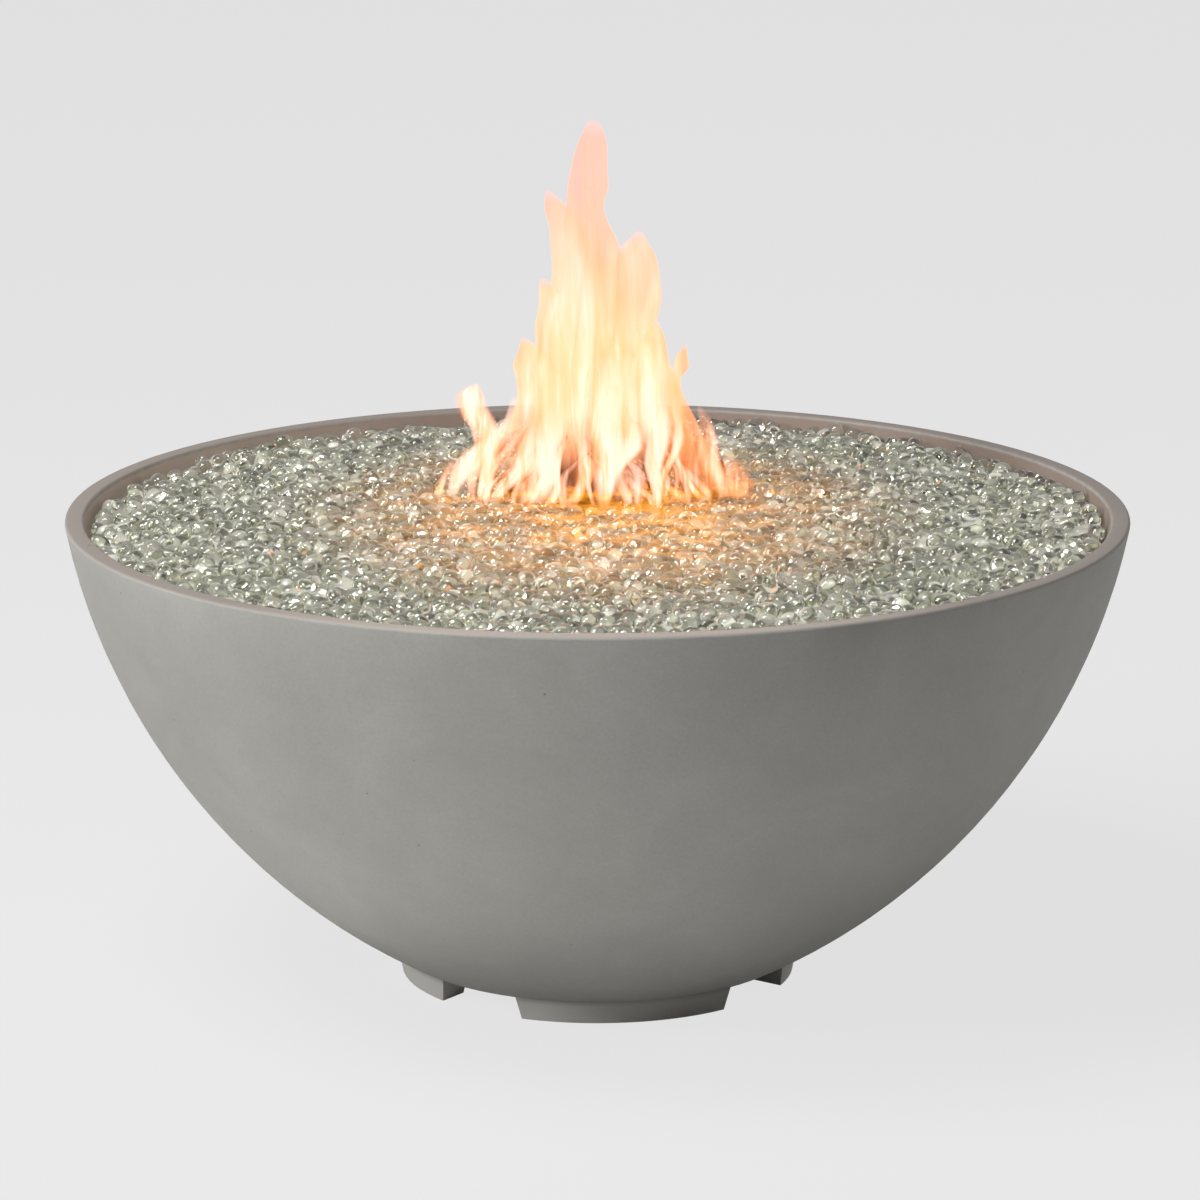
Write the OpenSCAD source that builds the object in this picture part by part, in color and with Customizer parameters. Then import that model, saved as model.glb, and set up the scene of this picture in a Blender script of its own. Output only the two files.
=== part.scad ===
// Gas fire pit bowl: a cast concrete bowl on four cast feet, with a drop-in burner pan,
// a double ring burner under a bed of glass beads, and its valve and igniter in the back wall.
// Millimetres, +Z up, origin on the ground under the centre. The front is -Y, the controls +Y.

/* [Bowl] */
// Outside diameter at the rim
rim_d = 1067; // [980:1:1140]
// Height from the ground to the rim
bowl_h = 476; // [450:1:510]
// Radius of the single arc that draws the outer side
side_r = 646; // [630:1:690]
// Lean of the wall from upright at the rim, degrees
rim_lean = 10.4; // [9:0.1:13]
// Width of the flat rim
rim_w = 19; // [17:1:24]
// Thickness of the wall below the pan ledge
wall_t = 34; // [31:1:40]
// Thickness of the floor
floor_t = 38; // [30:1:50]
// Rounding of the two rim edges
rim_edge_r = 3; // [2:0.5:5]
// Diameter of the hole in the floor for the gas hose
hose_hole_d = 64; // [50:1:76]
// Diameter of each weep hole in the floor
weep_d = 10; // [6:1:14]
// Number of weep holes
weep_count = 3; // [2:1:6]
// Diameter of the circle of weep holes
weep_circle_d = 230; // [200:1:260]

/* [Feet] */
// Number of feet
foot_count = 4; // [3:1:6]
// Height of the feet under the floor
foot_h = 22; // [18:1:28]
// Outside diameter of the ring of feet on the ground
foot_d = 399; // [380:1:410]
// Radial width of a foot on the ground
foot_w = 32; // [24:1:44]
// Width of the gap between two feet on the ground
foot_gap = 99; // [60:1:120]
// Draft of the feet's faces, degrees
foot_draft = 10; // [5:1:14]
// Turn of the first foot from straight ahead, degrees
foot_turn = 8.5; // [0:0.5:45]

/* [Burner pan] */
// Depth of the pan ledge below the rim
ledge_depth = 40; // [34:1:52]
// Depth of the pan's well below its flange
pan_drop = 32; // [26:1:44]
// Thickness of the pan's sheet
pan_sheet = 1.5; // [1:0.5:2.5]
// Gap between the pan's flange and the bowl
pan_gap = 3; // [2:0.5:5]
// Height of the flange's turned up edge
pan_hem = 8; // [4:1:12]
// Radial room between the ledge's edge and the well
well_gap = 6; // [4:1:10]
// Inward slope of the well's side over its depth
well_taper = 12; // [8:1:20]
// Number of drain holes in the pan
drain_count = 8; // [4:1:12]
// Diameter of a drain hole
drain_d = 10; // [6:1:14]
// Diameter of the circle of drain holes
drain_circle_d = 760; // [600:1:840]

/* [Glass bed] */
// Depth of the glass below the rim at the wall
bed_depth = 9; // [8:1:20]
// Rise of the glass from the wall to the middle
bed_crown = 2; // [1:0.5:6]
// Diameter of the level middle of the glass
crown_d = 320; // [280:1:360]
// Width of the slope from the middle down to the level glass
crown_slope = 40; // [30:1:60]
// Width of a bead that stands out of the glass
bead_d = 24; // [18:1:30]
// Height of a bead above the glass between beads
bead_rise = 5; // [3:0.5:7]
// Distance between two beads that stand out
bead_pitch = 64; // [48:1:90]

/* [Ring burner] */
// Diameter of the outer ring's centre line
outer_ring_d = 280; // [250:1:300]
// Diameter of the inner ring's centre line
inner_ring_d = 130; // [110:1:150]
// Outside diameter of the ring tube
ring_tube_d = 19; // [16:1:20]
// Wall of the burner's tubes
tube_wall = 1.5; // [1:0.25:2]
// Outside diameter of a spoke
spoke_d = 14; // [12:0.5:15]
// Number of spokes
spoke_count = 4; // [3:1:6]
// Diameter of a flame port
port_d = 3; // [2:0.5:4]
// Flame ports in the outer ring
outer_ports = 36; // [24:2:48]
// Flame ports in the inner ring
inner_ports = 16; // [12:2:20]
// Height of the rings above the pan's floor
ring_rise = 8; // [6:1:12]
// Diameter of the burner's hub
hub_d = 48; // [40:1:56]
// Height of the hub's boss, under its drum
hub_boss_h = 6; // [4:1:8]

/* [Gas pipe] */
// Outside diameter of the half inch pipe
pipe_d = 21.3; // [20:0.1:22]
// Bore of the pipe
pipe_bore = 15.8; // [14:0.1:16]
// Length of the elbow's legs, from its corner to a socket's face
elbow_leg = 34; // [32:1:42]
// Length of the air mixer's body
mixer_len = 60; // [50:1:80]
// Diameter of the air mixer's body
mixer_d = 30; // [28:1:34]
// Diameter of an air hole in the mixer
air_hole_d = 9; // [6:0.5:11]
// Outside diameter of the ribbed gas connectors
connector_d = 15; // [13:0.5:15]
// Diameter of the flared gas stubs
stub_d = 15.88; // [15.5:0.02:16.5]
// Length of a flared gas stub
stub_len = 14; // [12:1:16]
// Distance between two ribs of a connector
rib_pitch = 8; // [6:1:12]
// Depth of a rib
rib_depth = 1.2; // [0.6:0.1:1.6]

/* [Control panel] */
// Height of the panel's middle
panel_z = 300; // [290:1:320]
// Width of the panel
panel_w = 150; // [146:1:160]
// Height of the panel
panel_h = 84; // [82:1:96]
// Thickness of the panel
panel_t = 2; // [1.5:0.5:3]
// Depth of the panel's face under the bowl's surface
panel_recess = 10; // [9:0.5:12]
// Corner radius of the panel
panel_corner_r = 8; // [6:1:10]
// Margin of the panel around the window
panel_margin = 13.5; // [12:0.5:14]
// Distance of a panel screw from the panel's edges
screw_inset = 7; // [6.5:0.1:7.5]
// Diameter of a panel screw
screw_d = 4.8; // [4:0.2:5]

/* [Valve and knob] */
// Distance of the valve from the panel's middle
valve_x = 36; // [34:1:38]
// Diameter of the valve's body
valve_d = 34; // [30:1:36]
// Length of the valve's body
valve_len = 52; // [50:1:60]
// Diameter of the valve's neck
neck_d = 14; // [12:1:16]
// Diameter of the turning plug
plug_d = 18; // [16:1:20]
// Diameter of the stem
stem_d = 8; // [6:0.5:9]
// Diameter of the knob's grip
knob_d = 36; // [34:1:40]
// Diameter of the knob's skirt
skirt_d = 42; // [40:1:46]
// Height of the knob
knob_h = 20.5; // [19:0.5:26]
// Number of flutes round the knob
flute_count = 12; // [8:1:16]
// Travel of the knob when pushed
knob_travel = 4; // [3:0.5:5]

/* [Igniter] */
// Distance of the igniter from the panel's middle
igniter_x = 40; // [38:1:42]
// Diameter of the igniter's barrel
barrel_d = 22; // [21:0.5:24]
// Diameter of the igniter's front flange
flange_d = 28; // [26:1:32]
// Diameter of the push button
button_d = 16.4; // [15:0.1:17]
// Travel of the push button
button_travel = 3.5; // [2:0.5:4]
// Diameter of the battery
cell_d = 14.5; // [14:0.1:14.5]
// Length of the battery's can
cell_len = 49.5; // [49:0.1:50]

/* [Gas inlet] */
// Height of the inlet bracket above the floor
bridge_h = 60; // [54:1:80]
// Width of the inlet bracket
bridge_w = 40; // [30:1:50]
// Clear span of the inlet bracket
bridge_span = 96; // [90:1:110]
// Thickness of the bracket's steel
bridge_t = 3; // [2:0.5:4]
// Length of each bracket foot
bridge_foot = 25; // [22:1:32]

/* [Flame] */
// Height of the tallest tongue above the glass
flame_h = 394; // [300:1:440]
// Height of the small licks over the outer ring
lick_h = 85; // [50:5:120]
// Number of small licks on each side
lick_count = 6; // [4:1:7]
// Thickness of a tongue as a share of its width
tongue_flat = 0.12; // [0.08:0.01:0.2]

/* [Fits] */
// Radial running clearance of stems, plugs and buttons
run_fit = 0.05; // [0.03:0.01:0.08]
// Gap between pieces that sit against each other
seat_gap = 0.05; // [0.03:0.01:0.2]
// Clearance round soft or poured pieces
soft_gap = 0.3; // [0.3:0.05:0.6]
// Radial clearance of a bolt or neck in its hole
hole_gap = 0.15; // [0.1:0.05:0.4]

/* [Hidden] */
$fn = 96;
eps = 0.01;
// Room that a cutting tool runs past a face
over = 2;

// The outer side is one arc whose centre lies past the axis; the inner faces are concentric with it
rim_r = rim_d / 2;
arc_x = rim_r - side_r * cos(rim_lean);
arc_z = bowl_h + side_r * sin(rim_lean);
rim_t = rim_w * cos(rim_lean);
floor_top = foot_h + floor_t;
ledge_z = bowl_h - ledge_depth;
foot_top = max(foot_h, side_z(foot_d / 2)) + floor_t / 3;
function wall_r(z, depth) = arc_x + sqrt(pow(side_r - depth, 2) - pow(arc_z - z, 2));
// Height of the outer side at a radius
function side_z(r) = arc_z - sqrt(pow(side_r, 2) - pow(r - arc_x, 2));

// Pan and glass
flange_r = wall_r(ledge_z, rim_t) - pan_gap;
well_r = wall_r(ledge_z, wall_t) - well_gap;
well_floor_r = well_r - well_taper;
pan_z = ledge_z - pan_drop;
pan_top = pan_z + pan_sheet;
bed_edge_z = bowl_h - bed_depth;
bed_top = bed_edge_z + bed_crown;
// Between the beads that stand out, the glass lies lower by their height
bed_low_z = bed_edge_z - bead_rise;
crown_r = crown_d / 2;
level_r = crown_r + crown_slope;
// A bead is a dome whose top is worn flat; it is let into the glass
bead_worn = 0.6;
bead_sunk = 1;
bead_dome = bead_rise + bead_worn;
bead_ball_r = (pow(bead_d / 2, 2) + pow(bead_dome, 2)) / (2 * bead_dome);
bead_edge = bead_d / 2 + bead_rise;
// Beads stand back from their ring by up to this much, so that the rings don't show
bead_sway = 6;
bead_first_r = level_r + bead_edge + bead_sway;
bead_last_r = wall_r(bed_low_z, rim_t) - soft_gap - bead_edge;
bead_rows = max(1, round((bead_last_r - bead_first_r) / bead_pitch));
bead_row_step = (bead_last_r - bead_first_r) / bead_rows;

// Burner
tube_r = ring_tube_d / 2;
ring_z = pan_top + ring_rise + tube_r;
ring_top = ring_z + tube_r;
outer_r = outer_ring_d / 2;
inner_r = inner_ring_d / 2;
hub_wall = 4;
hub_floor = pan_top + hub_boss_h;
hub_boss_r = 16;
saddle_w = 16;
saddle_len = 20;
saddle_h = ring_rise + 4;
spoke_turn = 45;

// Pipe run under the pan
pipe_r = pipe_d / 2;
pipe_fit = pipe_r + seat_gap;
nut_h = 8;
nut_af = 32;
washer_t = 2;
washer_r = 20;
socket_len = 12;
collar_r = 17;
nut_z = pan_z - washer_t - nut_h;
elbow_top = nut_z - 4;
pipe_z = elbow_top - elbow_leg;
mixer_y = elbow_leg + seat_gap;
mixer_end = mixer_y + mixer_len;
air_hole_y = mixer_y + 36;
air_hole_count = 4;
jet_spigot = 12;
jet_r = 9;
jet_hex_y = mixer_end + seat_gap;
jet_hex = 8;
jet_end = jet_hex_y + jet_hex + stub_len;
jet_tip = 8;
jet_bore = 2;
hex_af = 24;

// The panel's own frame: x to the right as seen from outside, y up the wall, z straight out
panel_r = wall_r(panel_z, 0);
panel_tilt = asin((arc_z - panel_z) / side_r);
panel_front = -panel_recess;
panel_back = panel_front - panel_t;
screw_x = panel_w / 2 - screw_inset;
screw_y = panel_h / 2 - screw_inset;
screw_len = 14;
screw_head_r = 4.6;
screw_head_h = 2.6;
module at_panel() { translate([0, panel_r, panel_z]) rotate([90 + panel_tilt, 0, 180]) children(); }
// The same change of frame for a point and for a direction
function panel_dir(v) = [-v[0],
    v[1] * sin(panel_tilt) + v[2] * cos(panel_tilt),
    v[1] * cos(panel_tilt) - v[2] * sin(panel_tilt)];
function panel_pt(p) = [0, panel_r, panel_z] + panel_dir(p);

// Valve, from the panel inwards
neck_r = neck_d / 2;
neck_out = 6;
collar_t = 4;
valve_r = valve_d / 2;
valve_front = panel_back - collar_t;
valve_rear = valve_front - valve_len;
chamber_front = valve_front - 20;
chamber_rear = valve_rear + 6;
port_z = chamber_rear + 5;
plug_gap = 0.3;
plug_r = plug_d / 2;
stem_r = stem_d / 2;
stem_fit = stem_r + run_fit;
stem_tail = chamber_front - 11;
stem_end = 10;
stem_flat = stem_r * 0.7;
socket_end = stem_tail - knob_travel - 2;
gas_bore_r = 4;
boss_r = 9;
boss_len = 10;
stub_r = stub_d / 2;
outlet_end = valve_rear - boss_len - stub_len;
inlet_end = valve_r + boss_len + stub_len;
probe_x = valve_x + valve_r - 3.4;
probe_boss_r = 3.2;
probe_boss_len = 8;
nut_t = 4;
nut19_af = 19;
bezel_r = 27;
bezel_t = 2.5;
bezel_hole_r = 12;
knob_base = panel_front + bezel_t + knob_travel + 1;
knob_hollow_r = 12.5;
knob_hollow_h = 8;
skirt_h = 6.5;
flute_r = 3;
pointer_w = 2;
pointer_t = 0.8;

// Igniter, from the panel inwards
barrel_r = barrel_d / 2;
igniter_flange_t = 3;
button_r = button_d / 2;
button_proud = 4.5;
button_out = panel_front + igniter_flange_t + button_proud;
button_len = 17.5;
cell_nub = 1;
cell_front = button_out - button_len - button_travel - 2;
cell_rear = cell_front - cell_nub - cell_len;
barrel_rear = cell_rear - 9;
igniter_nut_t = 7;
igniter_nut_af = 30;
terminal_r = 4;
terminal_len = 6;

// Spark electrode and thermocouple, side by side behind the outer ring
sensor_x = 40;
sensor_y = outer_r + 20;
sensor_hole_r = 6;
ceramic_r = 4;
ceramic_len = 24;
shelf_z = pan_top + 10;
ceramic_z = shelf_z - 16;
bracket_w = 24;
bracket_t = 1.5;
riser_y = sensor_y + 6;
sensor_foot = 14;
sensor_screw_y = riser_y + 8;
sensor_screw_r = 2;
probe_r = 1.2;
probe_z = ring_z + 5;
probe_reach = 9;
pocket_r = sensor_y + 32;

// Gas inlet over the hole in the floor
bridge_z = floor_top + bridge_h;
fitting_r = 9;
fitting_hex = 10;
fitting_low = bridge_z - bridge_t - nut_h - 4;
inlet_low = fitting_low - stub_len;
inlet_top = bridge_z + fitting_hex + stub_len;
bolt_y = bridge_span / 2 + bridge_t + bridge_foot / 2 - 1;
bolt_r = 3;
bolt_head_af = 10;
bolt_head_h = 4;
bolt_len = 20;

// Routes of the connectors and leads, as the four control points of a cubic curve
connector_nut_af = 20;
connector_nut_len = stub_len + 5;
inward = panel_dir([0, 0, -1]);
down_wall = panel_dir([0, -1, 0]);
outlet_pt = panel_pt([-valve_x, 0, outlet_end - seat_gap]);
inlet_pt = panel_pt([-valve_x, -inlet_end - seat_gap, port_z]);
jet_pt = [0, jet_end + seat_gap, pipe_z];
fitting_pt = [0, 0, inlet_top + seat_gap];
lead_pt = panel_pt([igniter_x, 0, barrel_rear - terminal_len - seat_gap]);
probe_pt = panel_pt([-probe_x, 0, valve_rear - probe_boss_len - seat_gap]);
ceramic_pt = [-sensor_x, sensor_y, ceramic_z - seat_gap];
probe_end = [sensor_x, sensor_y, ceramic_z - seat_gap];
burner_route = [outlet_pt, outlet_pt + 90 * inward, jet_pt + [0, 90, 0], jet_pt];
supply_route = [inlet_pt, inlet_pt + 75 * down_wall, fitting_pt + [0, 0, 150], fitting_pt];
lead_route = [lead_pt, lead_pt + 80 * inward, ceramic_pt - [0, 0, 55], ceramic_pt];
probe_route = [probe_pt, probe_pt + 70 * inward, probe_end - [0, 0, 50], probe_end];
lead_r = 2.5;
probe_lead_r = 1.5;
lead_rings = 28;

// The main tongues of the flame: x, y, share of the height, width, sideways lean, turn
tongues = [
    [-6, 0, 1, 92, 0, 0],
    [34, 40, 0.70, 88, 0.05, 8],
    [-36, -40, 0.77, 70, -0.03, -8],
    [60, -40, 0.42, 60, 0.10, 6],
    [-62, 40, 0.45, 60, -0.04, -6],
    [-118, 0, 0.29, 36, -0.06, 10],
    [104, 0, 0.26, 40, 0.08, -10]
];
// The small licks stand on a front and a back arc of the outer ring
lick_arc = 128;
lick_r = outer_r - 22;
tongue_rings = 10;
tongue_sides = 8;
tongue_sway = 0.16;

// A cylinder between two heights
module rod(r, z0, z1) {
    translate([0, 0, z0]) cylinder(r = r, h = z1 - z0);
}

// A hexagon between two heights, by its width across flats
module hex_rod(af, z0, z1) {
    translate([0, 0, z0]) cylinder(r = af / sqrt(3), h = z1 - z0, $fn = 6);
}

module hex_nut(af, bore_r, z0, z1) {
    difference() {
        hex_rod(af, z0, z1);
        rod(bore_r, z0 - over, z1 + over);
    }
}

// The same along +Y, for the pipe under the pan
module along_y() { translate([0, 0, pipe_z]) rotate([-90, 0, 0]) children(); }

module rounded_plate(w, h, r, z0, z1) {
    translate([0, 0, z0]) linear_extrude(z1 - z0) union() {
        square([w - 2 * r, h], center = true);
        square([w, h - 2 * r], center = true);
        for (x = [-1, 1], y = [-1, 1])
            translate([x * (w / 2 - r), y * (h / 2 - r)]) circle(r);
    }
}

module torus(ring_r, r) {
    translate([0, 0, ring_z]) rotate_extrude() translate([ring_r, 0]) circle(r);
}

// A closed tube along rings of points, each ring with the same number of sides
module swept(rings, sides) {
    last = len(rings) - 1;
    polyhedron(
        points = [for (ring = rings) each ring],
        faces = concat(
            [for (i = [0 : last - 1], k = [0 : sides - 1])
                [i * sides + k, i * sides + (k + 1) % sides, (i + 1) * sides + k]],
            [for (i = [0 : last - 1], k = [0 : sides - 1])
                [i * sides + (k + 1) % sides, (i + 1) * sides + (k + 1) % sides, (i + 1) * sides + k]],
            [[for (k = [sides - 1 : -1 : 0]) k]],
            [[for (k = [0 : sides - 1]) last * sides + k]]));
}

// A point and a direction on a cubic curve with four control points
function curve_pt(c, t) = pow(1 - t, 3) * c[0] + 3 * pow(1 - t, 2) * t * c[1]
    + 3 * (1 - t) * t * t * c[2] + pow(t, 3) * c[3];
function curve_dir(c, t) = let (d = pow(1 - t, 2) * (c[1] - c[0]) + 2 * (1 - t) * t * (c[2] - c[1])
    + t * t * (c[3] - c[2])) d / norm(d);
function curve_len(c, n) = n == 0 ? 0
    : norm(curve_pt(c, n / 40) - curve_pt(c, (n - 1) / 40)) + curve_len(c, n - 1);

// A ring of points round the curve, turned from the X axis so that rings stay in step
function curve_ring(c, t, r, sides) = let (
    p = curve_pt(c, t),
    d = curve_dir(c, t),
    side = cross(d, [1, 0, 0]),
    u = side / norm(side),
    v = cross(d, u))
    [for (k = [0 : sides - 1]) p + r * (cos(360 * k / sides) * u + sin(360 * k / sides) * v)];

module lead(c, r) {
    swept([for (i = [0 : lead_rings]) curve_ring(c, i / lead_rings, r, 8)], 8);
}

// A corrugated metal connector: crest and groove rings in turn, with plain ends in the nuts
module ribbed(c) {
    ribs = round(curve_len(c, 40) / rib_pitch);
    last = 2 * ribs;
    swept([for (i = [0 : last])
        curve_ring(c, i / last, connector_d / 2 - (i % 2 == 0 ? rib_depth : 0), 8)], 8);
}

// Half section of the bowl, with the arcs of its sides as true circles
module arc_disc(depth) { translate([arc_x, arc_z]) circle(side_r - depth, $fn = 360); }

module bowl_section() {
    difference() {
        intersection() {
            arc_disc(0);
            translate([0, foot_h]) square([rim_r + over, bowl_h - foot_h]);
        }
        intersection() {
            arc_disc(wall_t);
            translate([0, floor_top]) square([rim_r, bowl_h]);
        }
        intersection() {
            arc_disc(rim_t);
            translate([0, ledge_z]) square([rim_r, bowl_h]);
        }
        rim_rounding(rim_r - rim_edge_r * (tan(rim_lean) + 1 / cos(rim_lean)), 1);
        rim_rounding(rim_r - rim_w - rim_edge_r * (tan(rim_lean) - 1 / cos(rim_lean)), -1);
    }
}

// The corner outside a rounding of the rim whose centre stands at x, on the outer or inner side
module rim_rounding(x, side) {
    z = bowl_h - rim_edge_r;
    foot_z = z - side * rim_edge_r * sin(rim_lean);
    difference() {
        polygon([[x, z], [x + side * rim_edge_r * cos(rim_lean), foot_z],
            [x + side * 3 * rim_edge_r, foot_z], [x + side * 3 * rim_edge_r, bowl_h + over],
            [x, bowl_h + over]]);
        translate([x, z]) circle(rim_edge_r);
    }
}

// The ring of feet before its gaps are cut; its top is buried in the floor or in the rising side
module foot_section() {
    grow = foot_top * tan(foot_draft);
    polygon([[foot_d / 2, 0], [foot_d / 2 + grow, foot_top],
        [foot_d / 2 - foot_w - grow, foot_top], [foot_d / 2 - foot_w, 0]]);
}

module foot_gap_cutter() {
    top = foot_top + over;
    narrow = top * tan(foot_draft);
    half = foot_gap / 2;
    rotate([90, 0, 0]) linear_extrude(foot_d)
        polygon([[-half - narrow, -top], [half + narrow, -top], [half - narrow, top], [narrow - half, top]]);
}

module bowl() {
    color("#8f8e8a") difference() {
        union() {
            rotate_extrude($fn = 180) bowl_section();
            difference() {
                rotate_extrude($fn = 180) foot_section();
                for (i = [0 : foot_count - 1])
                    rotate([0, 0, foot_turn + 360 * (i + 0.5) / foot_count]) foot_gap_cutter();
            }
        }
        rod(hose_hole_d / 2, -over, floor_top + over);
        for (i = [0 : weep_count - 1])
            rotate([0, 0, 360 * i / weep_count]) translate([0, -weep_circle_d / 2, 0])
                rod(weep_d / 2, -over, floor_top + over);
        for (s = [-1, 1])
            translate([0, s * bolt_y, 0])
                rod(bolt_r + hole_gap, floor_top - bolt_len - 1, floor_top + over);
        at_panel() {
            rounded_plate(panel_w + 1, panel_h + 1, panel_corner_r, panel_back, wall_t);
            rounded_plate(panel_w - 2 * panel_margin, panel_h - 2 * panel_margin, panel_corner_r,
                -3 * wall_t, panel_back + over);
            panel_screw_places() rod(screw_d / 2 + hole_gap, panel_back - screw_len - 1, panel_back + over);
        }
    }
}

// Stainless tray that hangs by its flange on the ledge
module burner_pan() {
    color("#9a9c9d") difference() {
        rotate_extrude($fn = 180) polygon([
            [pipe_r + hole_gap, pan_z], [well_floor_r, pan_z], [well_r, ledge_z], [flange_r, ledge_z],
            [flange_r, ledge_z + pan_hem], [flange_r - pan_sheet, ledge_z + pan_hem],
            [flange_r - pan_sheet, ledge_z + pan_sheet], [well_r - pan_sheet, ledge_z + pan_sheet],
            [well_floor_r - pan_sheet, pan_top], [pipe_r + hole_gap, pan_top]]);
        for (i = [0 : drain_count - 1])
            rotate([0, 0, 360 * (i + 0.5) / drain_count]) translate([drain_circle_d / 2, 0, 0])
                rod(drain_d / 2, pan_z - over, pan_top + over);
        for (s = [-1, 1]) {
            translate([s * sensor_x, sensor_y, 0]) rod(sensor_hole_r, pan_z - over, pan_top + over);
            translate([s * sensor_x, sensor_screw_y, 0])
                rod(sensor_screw_r + hole_gap, pan_z - over, pan_top + over);
        }
    }
}

// The poured glass as one mass: it fills the pan, crowns at the middle and covers the burner
module glass_section() {
    inner_well = well_r - pan_sheet - soft_gap;
    inner_floor = well_floor_r - pan_sheet - soft_gap;
    inner_hem = flange_r - pan_sheet - soft_gap;
    hem_z = ledge_z + pan_hem + soft_gap;
    shelf_top = ledge_z + pan_sheet + soft_gap;
    difference() {
        intersection() {
            arc_disc(rim_t + soft_gap);
            polygon([[0, pan_top + soft_gap], [inner_floor, pan_top + soft_gap], [inner_well, shelf_top],
                [inner_hem, shelf_top], [inner_hem, hem_z], [rim_r, hem_z], [rim_r, bed_low_z],
                [level_r, bed_low_z], [crown_r, bed_top], [0, bed_top]]);
        }
        square([pocket_r, ring_top + soft_gap]);
    }
}

module bead_section() {
    intersection() {
        translate([0, bead_dome - bead_ball_r]) circle(bead_ball_r);
        translate([0, -bead_sunk]) square([bead_d, bead_rise + bead_sunk]);
    }
}

// Beads stand out of the level glass in rings, each ring turned against the one inside it
module proud_beads() {
    for (row = [0 : bead_rows])
        let (r = bead_first_r + row * bead_row_step, count = floor(2 * PI * r / bead_pitch))
            for (i = [0 : count - 1])
                rotate([0, 0, 360 * (i + 0.38 * row) / count])
                    translate([r - bead_sway * (1 + sin(137 * i + 71 * row)) / 2, 0, bed_low_z])
                        rotate_extrude($fn = 24) bead_section();
}

module glass_bed() {
    color("#c9d0c4") union() {
        rotate_extrude($fn = 180) glass_section();
        proud_beads();
    }
}

// Width of a tongue along its height: a waist at the port, a belly, then a point
function swell(t) = pow(1 - t, 0.75) * (0.6 + 1.7 * t);

function tongue_ring(x, y, h, w, lean, turn, t) = let (
    sway = tongue_sway * w * t * sin(360 * (1.1 * t) + 3 * x + 5 * y),
    half = max(0.6, w / 2 * swell(t)),
    thin = max(0.6, half * tongue_flat))
    [for (k = [0 : tongue_sides - 1]) let (
        a = 360 * k / tongue_sides,
        u = half * cos(a),
        v = thin * sin(a))
        [x + lean * h * t * t + sway + u * cos(turn) - v * sin(turn),
            y * (1 - 0.3 * t) + u * sin(turn) + v * cos(turn),
            bed_top + soft_gap + h * t]];

module tongue(x, y, h, w, lean, turn) {
    swept([for (i = [0 : tongue_rings]) tongue_ring(x, y, h, w, lean, turn, i / tongue_rings)], tongue_sides);
}

// The burning gas, as thin tongues that stand on the glass over the two rings
module flame() {
    color("#ffd9a0") union() {
        for (t = tongues) tongue(t[0], t[1], t[2] * flame_h, t[3], t[4], t[5]);
        for (side = [-1, 1], i = [0 : lick_count - 1])
            let (
                a = side * (90 + lick_arc * (i / (lick_count - 1) - 0.5)),
                r = lick_r + 8 * sin(200 * i + 60 * side))
                tongue(r * cos(a), r * sin(a), lick_h * (0.75 + 0.35 * sin(137 * i + 80 * side)),
                    26 + 6 * sin(70 * i), -0.25 * cos(a), a + 90);
    }
}

// A ring of burner tube with its ports turned up and out, then up and in, and its spoke holes
module burner_ring(ring_r, ports, spoke_from, spoke_to) {
    difference() {
        translate([0, 0, ring_z]) rotate_extrude() translate([ring_r, 0]) difference() {
            circle(tube_r);
            circle(tube_r - tube_wall);
        }
        for (i = [0 : ports - 1])
            rotate([0, 0, 360 * (i + 0.25) / ports]) translate([ring_r, 0, ring_z])
                rotate([0, i % 2 == 0 ? 35 : -35, 0]) rod(port_d / 2, tube_r / 2, tube_r + over);
        for (i = [0 : spoke_count - 1])
            rotate([0, 0, spoke_turn + 360 * i / spoke_count]) translate([0, 0, ring_z]) rotate([0, 90, 0])
                rod(spoke_d / 2 - tube_wall, spoke_from, spoke_to);
    }
}

module outer_burner_ring() {
    color("#86888a") burner_ring(outer_r, outer_ports, outer_r - ring_tube_d, outer_r);
}

module inner_burner_ring() {
    color("#86888a") burner_ring(inner_r, inner_ports, inner_r - ring_tube_d, inner_r + ring_tube_d);
}

// Spoke tubes, their ends coped to the hub and to the rings that they are welded to
module spoke(x0, x1) {
    translate([0, 0, ring_z]) rotate([0, 90, 0]) difference() {
        rod(spoke_d / 2, x0, x1);
        rod(spoke_d / 2 - tube_wall, x0 - over, x1 + over);
    }
}

module burner_spokes() {
    color("#7d7f80") for (i = [0 : spoke_count - 1])
        rotate([0, 0, spoke_turn + 360 * i / spoke_count]) {
            difference() {
                spoke(hub_d / 2 - hub_wall, inner_r);
                rod(hub_d / 2 + seat_gap, pan_top, ring_top + over);
                torus(inner_r, tube_r + seat_gap);
            }
            difference() {
                spoke(inner_r, outer_r);
                torus(inner_r, tube_r + seat_gap);
                torus(outer_r, tube_r + seat_gap);
            }
        }
}

module burner_hub() {
    color("#86888a") difference() {
        union() {
            rod(hub_boss_r, pan_top, hub_floor + eps);
            rod(hub_d / 2, hub_floor, ring_top);
        }
        rod(hub_d / 2 - hub_wall, hub_floor + 3, ring_top - 2.5);
        rod(pipe_fit, pan_top - over, hub_floor + 4);
        for (i = [0 : spoke_count - 1])
            rotate([0, 0, spoke_turn + 360 * i / spoke_count]) translate([0, 0, ring_z]) rotate([0, 90, 0])
                rod(spoke_d / 2 - tube_wall, hub_d / 4, hub_d);
    }
}

// Blocks that carry the outer ring on the pan, hollowed to its tube
module burner_saddles() {
    color("#6f7172") difference() {
        for (i = [0 : spoke_count - 1])
            rotate([0, 0, 360 * i / spoke_count])
                translate([outer_r - saddle_w / 2, -saddle_len / 2, pan_top])
                    cube([saddle_w, saddle_len, saddle_h]);
        torus(outer_r, tube_r + seat_gap);
    }
}

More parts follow.
